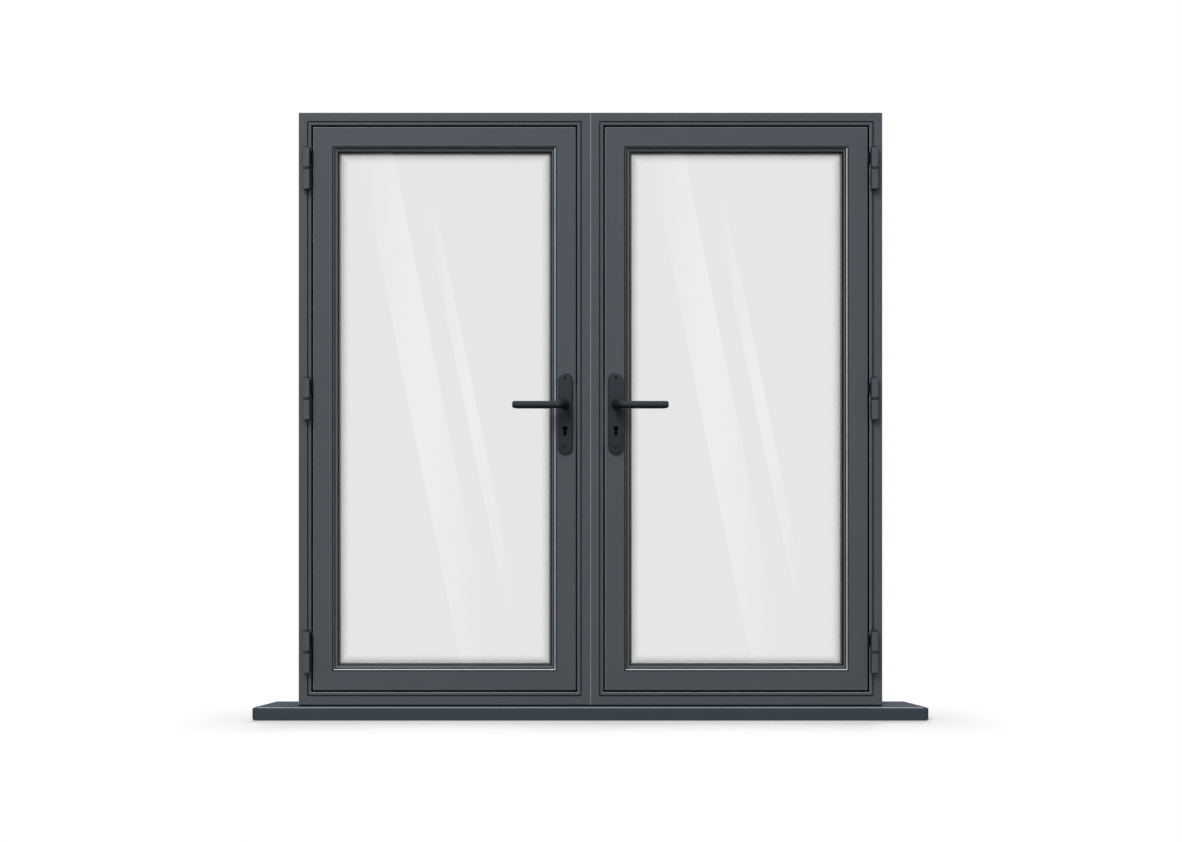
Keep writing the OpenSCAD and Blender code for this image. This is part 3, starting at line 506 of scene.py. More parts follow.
plate_low, plate_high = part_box("right_outside_plate")
leaf_middle = (plate_high.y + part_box("right_inside_plate")[0].y) / 2
on_plate = add(tree, "ShaderNodeMath", {0: at["Y"], 1: leaf_middle,
                                        2: leaf_middle - plate_high.y + PLATE_FRONT}, operation="COMPARE")
door_side = add(tree, "ShaderNodeMath", {0: at["X"]}, operation="SIGN")
way = add(tree, "ShaderNodeSeparateXYZ", {0: add(tree, "ShaderNodeTexCoord").outputs["Normal"]}).outputs
to_glass = add(tree, "ShaderNodeMath", {0: way["X"], 1: door_side.outputs[0]}, operation="MULTIPLY")
up_to_glass = add(tree, "ShaderNodeMath", {0: way["Z"], 1: UPWARDS_SHARE, 2: to_glass.outputs[0]},
                  operation="MULTIPLY_ADD")
# Painted highlight on the rims above, towards the glass, and painted shade on the rims towards the lock edge
for lean, (start, full), tone in ((up_to_glass, RIM_HIGHLIGHT, "#62686e"), (to_glass, RIM_SHADE, "#0e1114")):
    rim = add(tree, "ShaderNodeMapRange", {"Value": lean.outputs[0], "From Min": start, "From Max": full})
    shown = add(tree, "ShaderNodeMath", {0: rim.outputs[0], 1: on_plate.outputs[0]}, operation="MULTIPLY")
    lay_over(coat, shown.outputs[0], tone)
print("plates lie", round(leaf_middle - plate_high.y, 4), "m either side of the leaf's middle")

# %% [markdown]
# Each plate is painted darker towards its lower end, as shade, and a painted shadow rings the neck of each
# lever. To paint it would take a picture, while a fade by height and one by the distance from the spindle
# need none.

# %% Painted shade on the handles
LOW_SHADE = 0.5
NECK_SHADOW = (8.0 * MM, 26.0 * MM)  # from the spindle: where it is thickest, and where it ends
SHADOW_MOST = 0.8

# Painted shade: the plate grows darker towards its lower end
downwards = add(tree, "ShaderNodeMapRange", {"Value": at["Z"], "From Min": plate_low.z,
                                             "From Max": plate_high.z, "To Min": LOW_SHADE, "To Max": 0.0})
lay_over(coat, downwards.outputs[0], "#24282c")
lever_low, lever_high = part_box("right_outside_lever")
spindle = ((plate_low.x + plate_high.x) / 2, 0, (lever_low.z + lever_high.z) / 2)
either_door = add(tree, "ShaderNodeMath", {0: at["X"]}, operation="ABSOLUTE")
flat = add(tree, "ShaderNodeCombineXYZ", {0: either_door.outputs[0], 2: at["Z"]})
away = add(tree, "ShaderNodeVectorMath", {0: flat.outputs[0], 1: spindle}, operation="DISTANCE")
# Painted shadow round the neck of each lever
neck_shadow = add(tree, "ShaderNodeMapRange", {"Value": away.outputs["Value"], "From Min": NECK_SHADOW[0],
                                         "From Max": NECK_SHADOW[1], "To Min": SHADOW_MOST, "To Max": 0.0},
            interpolation_type="SMOOTHSTEP")
lay_over(coat, neck_shadow.outputs[0], "#0b0d0f")
print("grime round the spindle at", [round(v, 4) for v in spindle])

# %% [markdown]
# The nose of the sill gets a painted highlight, a pale line. Lamps catch a rounded nose only from some
# sides, so the line is laid into the coat, in a band below the top and close to the front.

# %% Painted highlight on the sill's nose
HIGHLIGHT_BELOW = (-0.1 * MM, 2.9 * MM)
HIGHLIGHT_BEHIND = 6.0 * MM

low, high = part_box("sill")
coat = FINISHES["sill_coat"]
tree = coat.node_tree
at = place_in(coat)
band = add(tree, "ShaderNodeMath", {0: at["Z"], 1: high.z - sum(HIGHLIGHT_BELOW) / 2,
                                    2: (HIGHLIGHT_BELOW[1] - HIGHLIGHT_BELOW[0]) / 2}, operation="COMPARE")
front = add(tree, "ShaderNodeMath", {0: at["Y"], 1: low.y + HIGHLIGHT_BEHIND}, operation="LESS_THAN")
nose_highlight = add(tree, "ShaderNodeMath", {0: band.outputs[0], 1: front.outputs[0]}, operation="MULTIPLY")
# Painted highlight along the nose
lay_over(coat, nose_highlight.outputs[0], "#c4cbd1")
print("sill's top at", round(high.z, 4))

# %% [markdown]
# Along the rolled edges of each hinge knuckle painted shade gives a dark outline. Each hinge arm, which
# dips into the gap beside the leaf, is painted black as shade, so the gap runs on past the hinge. A crease
# mask can't find these edges, because they stand out. They are told by how far a point lies from the middle
# of the nearest knuckle, sideways and upwards.

# %% Painted shade on hinge edges and arms
HINGE_HEIGHTS = (0.236, 1.110, 1.905)
KNUCKLE_MIDDLE = 38 * MM  # from the middle of a hinge to the middle of each of its knuckles
EDGE_START = (10.3 * MM, 32.4 * MM)  # sideways and upwards from the middle of a knuckle
EDGE_SOFT = 1.5 * MM
ARM_FROM = 0.9655

low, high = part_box("right_hinge_frame_knuckles")
coat = FINISHES["hinge_coat"]
tree = coat.node_tree
at = place_in(coat)
either_door = add(tree, "ShaderNodeMath", {0: at["X"]}, operation="ABSOLUTE").outputs[0]
nearest = 1.0
for hinge_z in HINGE_HEIGHTS:
    off_hinge = add(tree, "ShaderNodeMath", {0: at["Z"], 1: hinge_z}, operation="SUBTRACT")
    apart = add(tree, "ShaderNodeMath", {0: off_hinge.outputs[0]}, operation="ABSOLUTE")
    nearest = add(tree, "ShaderNodeMath", {0: apart.outputs[0], 1: nearest}, operation="MINIMUM").outputs[0]
edges = []
for away, middle, first in ((either_door, (low.x + high.x) / 2, EDGE_START[0]),
                            (nearest, KNUCKLE_MIDDLE, EDGE_START[1])):
    off_middle = add(tree, "ShaderNodeMath", {0: away, 1: middle}, operation="SUBTRACT")
    off_axis = add(tree, "ShaderNodeMath", {0: off_middle.outputs[0]}, operation="ABSOLUTE")
    outline = add(tree, "ShaderNodeMapRange", {"Value": off_axis.outputs[0], "From Min": first,
                                               "From Max": first + EDGE_SOFT})
    edges.append(outline.outputs[0])
edge = add(tree, "ShaderNodeMath", {0: edges[0], 1: edges[1]}, operation="MAXIMUM")
# Painted shade: a dark outline along the knuckles' rounded flanks
lay_over(coat, edge.outputs[0], "#1e2226")
on_arm = add(tree, "ShaderNodeMath", {0: either_door, 1: ARM_FROM}, operation="LESS_THAN")
# Painted shade: the arms are laid black, like the gap they dip into
lay_over(coat, on_arm.outputs[0], "#08090a")
print("hinge arms are black within", ARM_FROM, "m of the middle")

# %% [markdown]
# Caps, seals and glazing blocks are moulded. Plastic takes the fine spark-eroded grain of its mould, and
# rubber has a dull bloom. Noise alone would look like dirt, so the grain is a field of small cells, and
# only tone and gloss follow a slow cloud.

# %% Plastics and rubber
CLOUD_MM = 60
CLOUD_GLOSS_CHANGE = 0.06
PLASTIC_IOR = 1.5


def moulded(name, dark, light, roughness, shine, grain_mm, depth_mm):
    """Moulded plastic or rubber: a dull skin with a fine grain, and a slow change of tone."""
    material = new_material(name)
    tree = material.node_tree
    place = add(tree, "ShaderNodeTexCoord").outputs["Object"]
    cloud = add(tree, "ShaderNodeTexNoise", {"Vector": place, "Scale": 1 / (CLOUD_MM * MM), "Detail": 4.0})
    tone = add(tree, "ShaderNodeMix", {0: cloud.outputs["Fac"], 6: linear(dark), 7: linear(light)},
               data_type="RGBA")
    grain = add(tree, "ShaderNodeTexVoronoi", {"Vector": place, "Scale": 1 / (grain_mm * MM)})
    skin = add(tree, "ShaderNodeBump", {"Height": grain.outputs["Distance"], "Strength": 1.0,
                                        "Distance": depth_mm * MM})
    gloss = add(tree, "ShaderNodeMapRange", {"Value": cloud.outputs["Fac"],
                                             "To Min": roughness - CLOUD_GLOSS_CHANGE,
                                             "To Max": roughness + CLOUD_GLOSS_CHANGE})
    shader = add(tree, "ShaderNodeBsdfPrincipled", {
        "Base Color": tone.outputs[2], "Roughness": gloss.outputs[0], "Normal": skin.outputs[0],
        "Metallic": 0.0, "IOR": PLASTIC_IOR, "Specular IOR Level": shine})
    add(tree, "ShaderNodeOutputMaterial", {"Surface": shader.outputs[0]})
    return material


mouldings = {
    # Weatherproof plastic of the sill's end caps, close to the coat's colour but duller
    "end_cap_plastic": moulded("asa_moulding", "#464f58", "#4b545d", 0.6, 0.02, 1.2, 0.02),
    # Black rubber of seals and gaskets, almost without gloss
    "seal_rubber": moulded("epdm_rubber", "#0c0c0d", "#121213", 0.7, 0.15, 0.9, 0.03),
    # Grey plastic of the blocks that the glass stands on
    "block_plastic": moulded("polypropylene_block", "#54585b", "#5f6366", 0.55, 0.35, 2.0, 0.04),
}
FINISHES.update(mouldings)
print("mouldings:", sorted(mouldings))

# %% [markdown]
# Lock, keeps and spacer bar are bare or blackened metal, and the key cylinder is metal painted near black
# as the shade of its keyhole. Rolls and dies leave long fine streaks along a bar, and use adds scratches the
# same way. One noise, stretched along the bar, gives tone, gloss and skin together, so a dark streak is also
# a duller one. Separate noises would not agree.

# %% Metals
STREAK_GLOSS_CHANGE = 0.08
SCRATCH_STRENGTH = 0.4
SCRATCH_DEPTH_MM = 0.02


def rolled_metal(name, dark, light, roughness, streak_mm, along_mm):
    """Bare metal with long fine streaks along the bar, left by the rolls or the die."""
    material = new_material(name)
    tree = material.node_tree
    place = add(tree, "ShaderNodeTexCoord").outputs["Object"]
    across = 1 / (streak_mm * MM)
    along = 1 / (along_mm * MM)
    stretch = add(tree, "ShaderNodeMapping", {"Vector": place, "Scale": (across, across, along)})
    streaks = add(tree, "ShaderNodeTexNoise", {"Vector": stretch.outputs[0], "Scale": 1.0, "Detail": 3.0})
    tone = add(tree, "ShaderNodeMix", {0: streaks.outputs["Fac"], 6: linear(dark), 7: linear(light)},
               data_type="RGBA")
    gloss = add(tree, "ShaderNodeMapRange", {"Value": streaks.outputs["Fac"],
                                             "To Min": roughness - STREAK_GLOSS_CHANGE,
                                             "To Max": roughness + STREAK_GLOSS_CHANGE})
    skin = add(tree, "ShaderNodeBump", {"Height": streaks.outputs["Fac"], "Strength": SCRATCH_STRENGTH,
                                        "Distance": SCRATCH_DEPTH_MM * MM})
    shader = add(tree, "ShaderNodeBsdfPrincipled", {
        "Base Color": tone.outputs[2], "Roughness": gloss.outputs[0], "Normal": skin.outputs[0],
        "Metallic": 1.0})
    add(tree, "ShaderNodeOutputMaterial", {"Surface": shader.outputs[0]})
    return material


metals = {
    # Black-zinc steel of the lock, bolts, keeps and screws: dark, with scratches up and down
    "lock_steel": rolled_metal("black_zinc_steel", "#3c3e41", "#4b4d50", 0.4, 0.8, 40),
    # Mill-finish aluminium of the spacer bar and the coupling strip: pale and dull
    "bare_aluminium": rolled_metal("mill_finish_aluminium", "#c4c6c8", "#d2d4d6", 0.5, 1.5, 120),
    # Brass of the key cylinder, painted near black as the shade of a keyhole, so it reads as a black hole in
    # the plate
    "cylinder_coat": rolled_metal("keyhole_shade_brass", "#050506", "#0a0a0b", 0.6, 0.6, 6),
}
FINISHES.update(metals)
print("metals:", sorted(metals))

# %% [markdown]
# Two of these finishes take a second tone as well. The outer corner of a sill end cap gets a dark line of
# painted shade. The heads of the plate screws are black, with a painted highlight at the bottom of their
# sockets. They share the lock's steel, so their place tells them apart, and no other finish is needed.

# %% Painted shade on cap edges, and screw heads with a painted highlight
CAP_SHADE_W = 3.0 * MM
SOCKET_HIGHLIGHT_R = 1.3 * MM

coat = FINISHES["end_cap_plastic"]
outwards = add(coat.node_tree, "ShaderNodeMath", {0: place_in(coat)["X"]}, operation="ABSOLUTE")
cap_edge_shade = add(coat.node_tree, "ShaderNodeMath", {0: outwards.outputs[0], 1: cad_box[1].x - CAP_SHADE_W},
             operation="GREATER_THAN")
# Painted shade: a dark line at the outer end of each cap
lay_over(coat, cap_edge_shade.outputs[0], "#14171a")

low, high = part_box("right_plate_screws")
head_r = (high.x - low.x) / 2
coat = FINISHES["lock_steel"]
tree = coat.node_tree
at = place_in(coat)
either_door = add(tree, "ShaderNodeMath", {0: at["X"]}, operation="ABSOLUTE")
flat = add(tree, "ShaderNodeCombineXYZ", {0: either_door.outputs[0], 2: at["Z"]})
off_axis = 1.0
for screw_z in (low.z + head_r, high.z - head_r):
    axis = ((low.x + high.x) / 2, 0, screw_z)
    away = add(tree, "ShaderNodeVectorMath", {0: flat.outputs[0], 1: axis}, operation="DISTANCE")
    nearer = add(tree, "ShaderNodeMath", {0: away.outputs["Value"], 1: off_axis}, operation="MINIMUM")
    off_axis = nearer.outputs[0]
# Black heads, and a painted highlight at the bottom of each socket
for reach, tone in ((head_r + TINY, "#08090a"), (SOCKET_HIGHLIGHT_R, "#7d8084")):
    within = add(tree, "ShaderNodeMath", {0: off_axis, 1: reach}, operation="LESS_THAN")
    lay_over(coat, within.outputs[0], tone)
print("screw heads of radius", round(head_r, 5))

# %% [markdown]
# The panes are clear float glass with a faint grey cast. In the picture they darken softly towards their
# edges, in the shade of the deep rebate and the spacer bar. Shadow rays pass clear glass, so that shade is
# drawn into the glass itself by the distance to the edge of the clear opening, and it stays in place from
# every side.

# %% Float glass
CLEAR = 0.885
GLASS_IOR = 1.5
EDGE_SHADE = 38 * MM  # how far the shade reaches in from the edge
EDGE_LOSS = 0.34
EDGE_FALL = 2.0  # the power by which the shade falls off
BEAD_COVER = 9.0 * MM  # how far the panes run on behind bead and gasket
CORNER_SOFT = 12 * MM

low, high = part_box("right_glass_panes")
material = new_material("float_glass")
tree = material.node_tree
gap = depth_inside(material, low, high, BEAD_COVER, CORNER_SOFT)
fall = add(tree, "ShaderNodeMapRange", {"Value": gap, "From Max": EDGE_SHADE, "To Min": 1.0, "To Max": 0.0})
shade = add(tree, "ShaderNodeMath", {0: fall.outputs[0], 1: EDGE_FALL}, operation="POWER")
loss = add(tree, "ShaderNodeMath", {0: shade.outputs[0], 1: -EDGE_LOSS, 2: CLEAR}, operation="MULTIPLY_ADD")
tint = add(tree, "ShaderNodeCombineColor", {0: loss.outputs[0], 1: loss.outputs[0], 2: loss.outputs[0]})
glass = add(tree, "ShaderNodeBsdfPrincipled", {
    "Base Color": tint.outputs[0], "Roughness": 0.0, "IOR": GLASS_IOR, "Transmission Weight": 1.0})
path = add(tree, "ShaderNodeLightPath")
let_through = add(tree, "ShaderNodeBsdfTransparent", {"Color": (CLEAR, CLEAR, CLEAR, 1.0)})
mixed = add(tree, "ShaderNodeMixShader", {0: path.outputs["Is Shadow Ray"], 1: glass.outputs[0],
                                          2: let_through.outputs[0]})
add(tree, "ShaderNodeOutputMaterial", {"Surface": mixed.outputs[0]})
FINISHES["glass"] = material
print("glass:", material.name)

# %% [markdown]
# Each solid says in the record which finish it takes, so one loop dresses them all, and no list of names
# has to be kept twice. A solid's mesh is left as it is, and only its material slot changes.

# %% Dress the solids
for part in frame["record"]["subparts"]:
    mesh = nodes[part["node"]].data
    mesh.materials.clear()
    mesh.materials.append(FINISHES[part["material_slot"]])

# %% [markdown]
# ## Handles
# The handle plates and levers are the pieces that a hand and an eye come closest to. The solids give their
# true size, but with hard edges. Here they are modelled anew, as by hand: a flat outline is drawn, extruded,
# and its rim is rounded. A subdivided block would round everything alike, while a bevel keeps the face flat.


# %% Helpers to model by hand
def start_piece(name):
    """Names the new primitive, puts its place into its mesh and opens it for editing."""
    piece = bpy.context.object
    piece.name = name
    piece.data.name = name
    bpy.ops.object.transform_apply(location=True, rotation=True, scale=True)
    bpy.ops.object.mode_set(mode="EDIT")
    return piece


def pick(piece, kind, test):
    """While editing, selects the points, edges or faces all of whose corners pass a test."""
    bpy.ops.mesh.select_all(action="DESELECT")
    bpy.ops.mesh.select_mode(type=kind)
    mesh = bmesh.from_edit_mesh(piece.data)
    for item in {"VERT": mesh.verts, "EDGE": mesh.edges, "FACE": mesh.faces}[kind]:
        corners = [item] if kind == "VERT" else item.verts
        item.select_set(all(test(corner.co) for corner in corners))
    mesh.select_flush_mode()
    bmesh.update_edit_mesh(piece.data)


def extrude(x, y, z):
    """While editing, draws what is selected out by a distance."""
    bpy.ops.mesh.extrude_region_move(TRANSFORM_OT_translate={"value": (x, y, z)})


def close_piece(piece):
    """Merges doubles, turns all faces outwards and leaves edit mode."""
    bpy.ops.mesh.select_all(action="SELECT")
    bpy.ops.mesh.remove_doubles(threshold=TINY / 10)
    bpy.ops.mesh.normals_make_consistent(inside=False)
    bpy.ops.object.mode_set(mode="OBJECT")
    return piece


def only(piece):
    """Makes a piece the only selected and active one."""
    bpy.ops.object.select_all(action="DESELECT")
    piece.select_set(True)
    bpy.context.view_layer.objects.active = piece


# %% [markdown]
# A plate is a slim stadium with a softly rounded rim. Half of a circle is pulled up to make the outline. Two
# circles and a box could be joined to the same form, but would leave seams along the straight sides.

# %% Plate outline
ROUND_STEPS = 64
PLATE_T = 8 * MM
RIM_ROUND = 3 * MM
RIM_STEPS = 6

plate_low, plate_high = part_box("left_outside_plate")
half_width = (plate_high.x - plate_low.x) / 2
spindle_x = (plate_low.x + plate_high.x) / 2
round_z = plate_low.z + half_width
straight = plate_high.z - plate_low.z - 2 * half_width
bpy.ops.mesh.primitive_circle_add(vertices=ROUND_STEPS, radius=half_width, fill_type="NGON",
                                  location=(spindle_x, 0, round_z),
                                  rotation=(math.pi / 2, math.pi / ROUND_STEPS, 0))
plate = start_piece("left_outside_handle_plate")
pick(plate, "VERT", lambda at: at.z > round_z)
bpy.ops.transform.translate(value=(0, 0, straight))
bpy.ops.mesh.select_all(action="SELECT")
extrude(0, -PLATE_T, 0)
pick(plate, "EDGE", lambda at: at.y < -PLATE_T + TINY)
bpy.ops.mesh.bevel(offset=RIM_ROUND, segments=RIM_STEPS, affect="EDGES")
close_piece(plate)
print("plate:", plate.name, "straight part:", round(straight, 4))

# %% [markdown]
# The boss round the lever is joined to the plate, and the holes for the lever, the screws and the key are
# cut with tools of their shapes, as drills and a slot cutter do in the works. That is quicker than drawing
# the outline round every hole, and keeps each hole truly round.

# %% Boss and holes of the plate
ALONG_Y = (math.pi / 2, 0, 0)
BOSS_R = 15.5 * MM
BOSS_ROUND = 1 * MM
BOSS_STEPS = 4
JOURNAL_HOLE_R = 8.1 * MM
SCREW_HOLE_R = 5.4 * MM
SCREW_HOLE_STEPS = 32
SCREW_SEAT_T = 2.6 * MM
KEY_R = 8.8 * MM
KEY_STEPS = 48
KEY_SLOT_W = 10.6 * MM


def combine(piece, tool, how):
    """Joins a piece with a tool or cuts it by the tool, which is used up."""
    only(piece)
    modifier = piece.modifiers.new("combine", "BOOLEAN")
    modifier.operation = how
    modifier.solver = "EXACT"
    modifier.object = tool
    bpy.ops.object.modifier_apply(modifier=modifier.name)
    bpy.data.objects.remove(tool)


lever_low, lever_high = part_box("left_outside_lever")
spindle_z = (lever_low.z + lever_high.z) / 2
boss_front = plate_low.y
bpy.ops.mesh.primitive_circle_add(vertices=ROUND_STEPS, radius=BOSS_R, fill_type="NGON",
                                  location=(spindle_x, -PLATE_T / 2, spindle_z), rotation=ALONG_Y)
boss = start_piece("boss")
bpy.ops.mesh.select_all(action="SELECT")
extrude(0, boss_front + PLATE_T / 2, 0)
pick(boss, "EDGE", lambda at: at.y < boss_front + TINY)
bpy.ops.mesh.bevel(offset=BOSS_ROUND, segments=BOSS_STEPS, affect="EDGES")
combine(plate, close_piece(boss), "UNION")

screws_low, screws_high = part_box("left_plate_screws")
screw_head_r = (screws_high.x - screws_low.x) / 2
low_screw_z = screws_low.z + screw_head_r
high_screw_z = screws_high.z - screw_head_r
key_low, key_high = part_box("left_cylinder_body")
key_body_r = (key_high.x - key_low.x) / 2
key_z = key_high.z - key_body_r
drills = (
    (ROUND_STEPS, JOURNAL_HOLE_R, 6 * PLATE_T, 0, spindle_z),
    (SCREW_HOLE_STEPS, SCREW_HOLE_R, 2 * SCREW_SEAT_T, -PLATE_T, low_screw_z),
    (SCREW_HOLE_STEPS, SCREW_HOLE_R, 2 * SCREW_SEAT_T, -PLATE_T, high_screw_z),
    (KEY_STEPS, KEY_R, 4 * PLATE_T, 0, key_z),
)
for steps, radius, length, y, z in drills:
    bpy.ops.mesh.primitive_cylinder_add(vertices=steps, radius=radius, depth=length,
                                        location=(spindle_x, y, z), rotation=ALONG_Y)
    combine(plate, bpy.context.object, "DIFFERENCE")
slot_low = key_low.z - (KEY_R - key_body_r)
bpy.ops.mesh.primitive_cube_add(size=1, location=(spindle_x, 0, (slot_low + key_z) / 2),
                                scale=(KEY_SLOT_W, 4 * PLATE_T, key_z - slot_low))
combine(plate, bpy.context.object, "DIFFERENCE")
print("holes:", len(drills), "and a slot, faces:", len(plate.data.polygons))

# %% [markdown]
# A lever is one bent round bar. Its section is extruded out of the plate, past a fine groove that parts the
# neck from the turning collar, spun a quarter turn round the bend and extruded along the grip to a domed
# tip. A curve with a round section would make the bar too, but not the groove and the dome.

# %% Lever
LEVER_STEPS = 48
BEND_R = 18 * MM
BEND_STEPS = 16
TIP_ROUND = 8 * MM
TIP_STEPS = 8
SHOULDER_GAP = 0.3 * MM
COLLAR_T = 3 * MM
GROOVE_W = 0.8 * MM
GROOVE_SHARE = 0.93

lever_r = (lever_high.z - lever_low.z) / 2
grip_y = lever_low.y + lever_r
shoulder_y = boss_front - SHOULDER_GAP
bend_y = grip_y + BEND_R
bpy.ops.mesh.primitive_circle_add(vertices=LEVER_STEPS, radius=lever_r, fill_type="NGON",
                                  location=(spindle_x, shoulder_y, spindle_z), rotation=ALONG_Y)
lever = start_piece("left_outside_lever_handle")
bpy.ops.mesh.select_all(action="SELECT")
extrude(0, -COLLAR_T, 0)
on_neck = (spindle_x, shoulder_y - COLLAR_T, spindle_z)
extrude(0, 0, 0)
bpy.ops.transform.resize(value=(GROOVE_SHARE, 1, GROOVE_SHARE), center_override=on_neck)
extrude(0, -GROOVE_W, 0)
extrude(0, 0, 0)
bpy.ops.transform.resize(value=(1 / GROOVE_SHARE, 1, 1 / GROOVE_SHARE), center_override=on_neck)
extrude(0, bend_y - (shoulder_y - COLLAR_T - GROOVE_W), 0)
bpy.ops.mesh.spin(steps=BEND_STEPS, angle=math.pi / 2, center=(spindle_x - BEND_R, bend_y, spindle_z),
                  axis=(0, 0, 1))
extrude(lever_low.x - (spindle_x - BEND_R), 0, 0)
pick(lever, "EDGE", lambda at: at.x < lever_low.x + TINY)
bpy.ops.mesh.bevel(offset=TIP_ROUND, segments=TIP_STEPS, affect="EDGES")
close_piece(lever)
corners = [point.co for point in lever.data.vertices]
print("lever spans:", [round(min(c[i] for c in corners), 4) for i in range(3)],
      [round(max(c[i] for c in corners), 4) for i in range(3)])

# %% [markdown]
# The other three plates and levers are mirror images: across the thickness of the door for the inside, and
# across the middle of the set for the right-hand door. A mirror modifier would keep them in one piece, but
# each has to move with its own door, so each is a copy with its own mesh.

# %% Copies for every side of both doors
X_AXIS = 0
Y_AXIS = 1
SMOOTH_BELOW = math.radians(40)


def mirrored(piece, name, axis, plane):
    """A copy with its own mesh, on the other side of a plane across one axis."""
    only(piece)
    bpy.ops.object.duplicate(linked=False)
    copy = bpy.context.object
    copy.name = name
    copy.data.name = name
    bpy.ops.object.mode_set(mode="EDIT")
    bpy.ops.mesh.select_all(action="SELECT")
    bpy.ops.transform.resize(value=[-1 if i == axis else 1 for i in range(3)],
                             center_override=[plane if i == axis else 0 for i in range(3)])
    return close_piece(copy)


def dress(piece, body, slot, *replaced):
    """Smooths a piece, gives it its finish and hangs it on its body."""
    only(piece)
    bpy.ops.object.shade_smooth_by_angle(angle=SMOOTH_BELOW)
    weigh = piece.modifiers.new("even_faces", "WEIGHTED_NORMAL")
    weigh.keep_sharp = True
    bpy.ops.object.modifier_apply(modifier=weigh.name)
    piece.data.materials.clear()
    piece.data.materials.append(FINISHES[slot])
    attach(piece, body)
    if replaced:
        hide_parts(*replaced)


mid_depth = (plate_low.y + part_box("left_inside_plate")[1].y) / 2
handles = {("left", "outside"): (plate, lever)}
handles["left", "inside"] = tuple(
    mirrored(piece, piece.name.replace("outside", "inside"), Y_AXIS, mid_depth) for piece in (plate, lever))
for face in ("outside", "inside"):
    handles["right", face] = tuple(
        mirrored(piece, piece.name.replace("left", "right"), X_AXIS, 0.0) for piece in handles["left", face])
for (side_name, face), (plate, lever) in handles.items():
    dress(plate, f"{side_name}_leaf", "handle_coat", f"{side_name}_{face}_plate")
    dress(lever, f"{side_name}_levers", "handle_coat", f"{side_name}_{face}_lever")
print("plates and levers:", 2 * len(handles))

# %% [markdown]
# ## Rebate seals
# A soft seal runs round each frame's stop, with two lips that meet the leaf and a stem that holds it in its
# groove. It shows when a door stands open. A section could be swept along a path, but its corners would
# need care. Here a ring is inset from a plain rectangle, so the corners are mitred by themselves, its front
# is raised and rounded into lips, and the stem is drawn out of its back.

# %% Seal rings
SEAL_W = 10 * MM
LIP_W = 3 * MM
LIP_DIP = 0.8 * MM
LIP_ROUND = 0.7 * MM
LIP_STEPS = 3
STEM_W = 3.6 * MM
STOP_Y = 52 * MM

low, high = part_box("frame_seals")
frame_low, frame_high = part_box("left_frame_head")
ring_x = (frame_low.x + frame_high.x) / 2
ring_z = (low.z + high.z) / 2
bpy.ops.mesh.primitive_plane_add(size=1, location=(ring_x, STOP_Y, ring_z), rotation=ALONG_Y)
seal = start_piece("left_rebate_seal")
bpy.ops.mesh.select_all(action="SELECT")
bpy.ops.transform.resize(value=(2 * (ring_x - low.x), 1, high.z - low.z),
                         center_override=(ring_x, STOP_Y, ring_z))
bpy.ops.mesh.inset(thickness=SEAL_W)
bpy.ops.mesh.delete(type="FACE")
bpy.ops.mesh.select_all(action="SELECT")
extrude(0, low.y - STOP_Y, 0)
pick(seal, "FACE", lambda at: at.y < low.y + TINY)
bpy.ops.mesh.inset(thickness=LIP_W)
bpy.ops.transform.translate(value=(0, LIP_DIP, 0))
pick(seal, "EDGE", lambda at: at.y < low.y + TINY)
bpy.ops.mesh.bevel(offset=LIP_ROUND, segments=LIP_STEPS, affect="EDGES")
pick(seal, "FACE", lambda at: at.y > STOP_Y - TINY)
bpy.ops.mesh.inset(thickness=(SEAL_W - STEM_W) / 2)
extrude(0, high.y - STOP_Y, 0)
close_piece(seal)
twin = mirrored(seal, "right_rebate_seal", X_AXIS, 0.0)
dress(seal, "frames", "seal_rubber", "frame_seals")
dress(twin, "frames", "seal_rubber")
print("seals:", seal.name, twin.name, "faces:", len(seal.data.polygons))

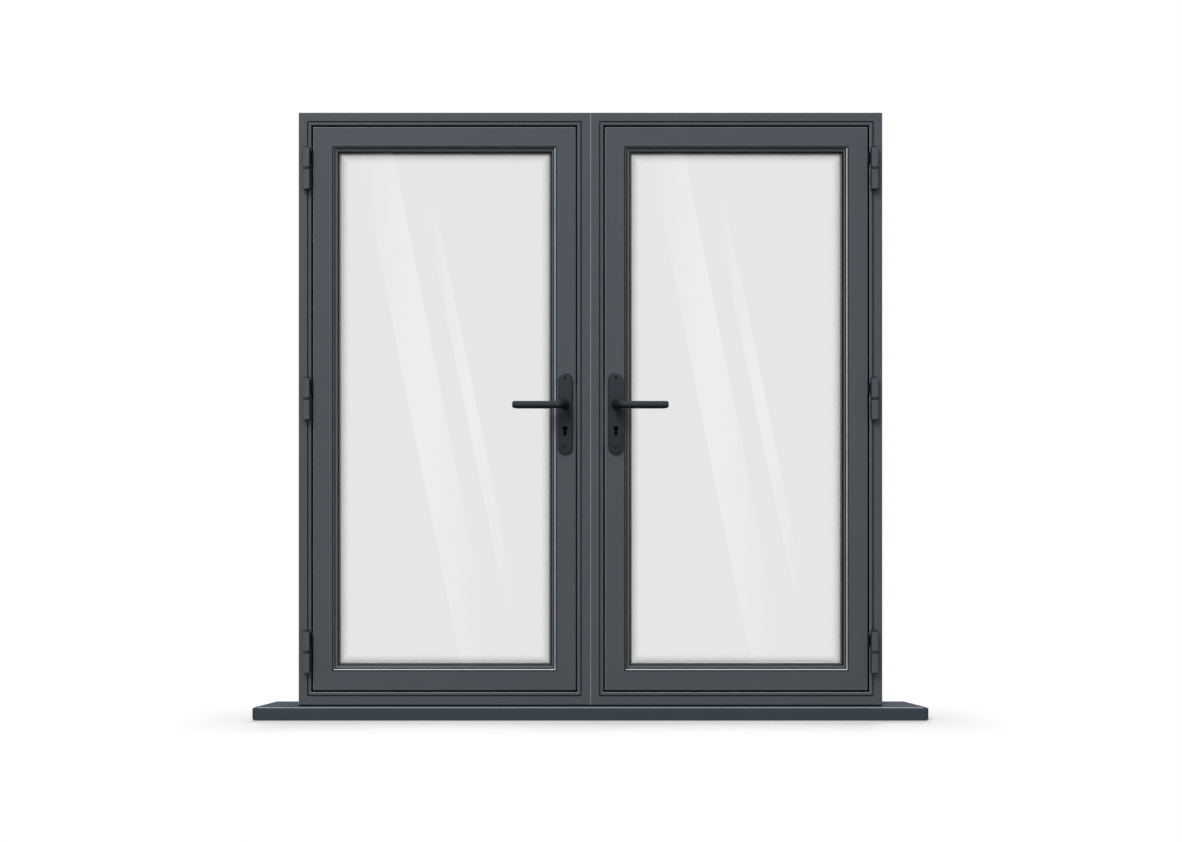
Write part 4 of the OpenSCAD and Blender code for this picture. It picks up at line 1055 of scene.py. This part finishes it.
# %% [markdown]
# ## Lock screws
# A countersunk screw near each end holds every faceplate to its stile and every keep to its jamb. They show
# when a door stands open. The heads stand a hair proud of the steel and have hexagon sockets. Bump could
# hint at them, but not from the side. One is raised from a circle, its socket is cut, and it is copied up
# the plate. The pair is then mirrored across the gap to the keep, and both pairs to the other door.

# %% Screws of faceplates and keeps
ALONG_X = (0, math.pi / 2, 0)
HEAD_R = 3.8 * MM
HEAD_STEPS = 32
HEAD_PROUD = 0.4 * MM
HEAD_ROUND = 0.2 * MM
HEAD_ROUND_STEPS = 3
SOCKET_SIDES = 6
SOCKET_R = 2.0 * MM
SOCKET_DEEP = 0.35 * MM
FROM_END = 9 * MM

face_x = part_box("left_lock_case")[1].x
keeps_low, keeps_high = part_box("lock_keeps")
row_y = (keeps_low.y + keeps_high.y) / 2
first_z = keeps_low.z + FROM_END
last_z = keeps_high.z - FROM_END
bpy.ops.mesh.primitive_circle_add(vertices=HEAD_STEPS, radius=HEAD_R, fill_type="NGON",
                                  location=(face_x, row_y, first_z), rotation=ALONG_X)
screws = start_piece("left_faceplate_screws")
bpy.ops.mesh.select_all(action="SELECT")
extrude(HEAD_PROUD, 0, 0)
pick(screws, "EDGE", lambda at: at.x > face_x + HEAD_PROUD - TINY)
bpy.ops.mesh.bevel(offset=HEAD_ROUND, segments=HEAD_ROUND_STEPS, affect="EDGES")
close_piece(screws)
bpy.ops.mesh.primitive_cylinder_add(vertices=SOCKET_SIDES, radius=SOCKET_R, depth=2 * SOCKET_DEEP,
                                    location=(face_x + HEAD_PROUD, row_y, first_z), rotation=ALONG_X)
combine(screws, bpy.context.object, "DIFFERENCE")
bpy.ops.object.mode_set(mode="EDIT")
bpy.ops.mesh.select_all(action="SELECT")
bpy.ops.mesh.duplicate_move(TRANSFORM_OT_translate={"value": (0, 0, last_z - first_z)})
close_piece(screws)
keep_screws = mirrored(screws, "left_keep_screws", X_AXIS, (face_x + keeps_low.x) / 2)
for piece, body, twin_body in ((screws, "left_leaf", "right_leaf"), (keep_screws, "frames", "frames")):
    twin = mirrored(piece, piece.name.replace("left", "right"), X_AXIS, 0.0)
    dress(piece, body, "lock_steel")
    dress(twin, twin_body, "lock_steel")
print("lock screws at:", [round(v, 4) for v in (face_x, keeps_low.x, row_y, first_z, last_z)])
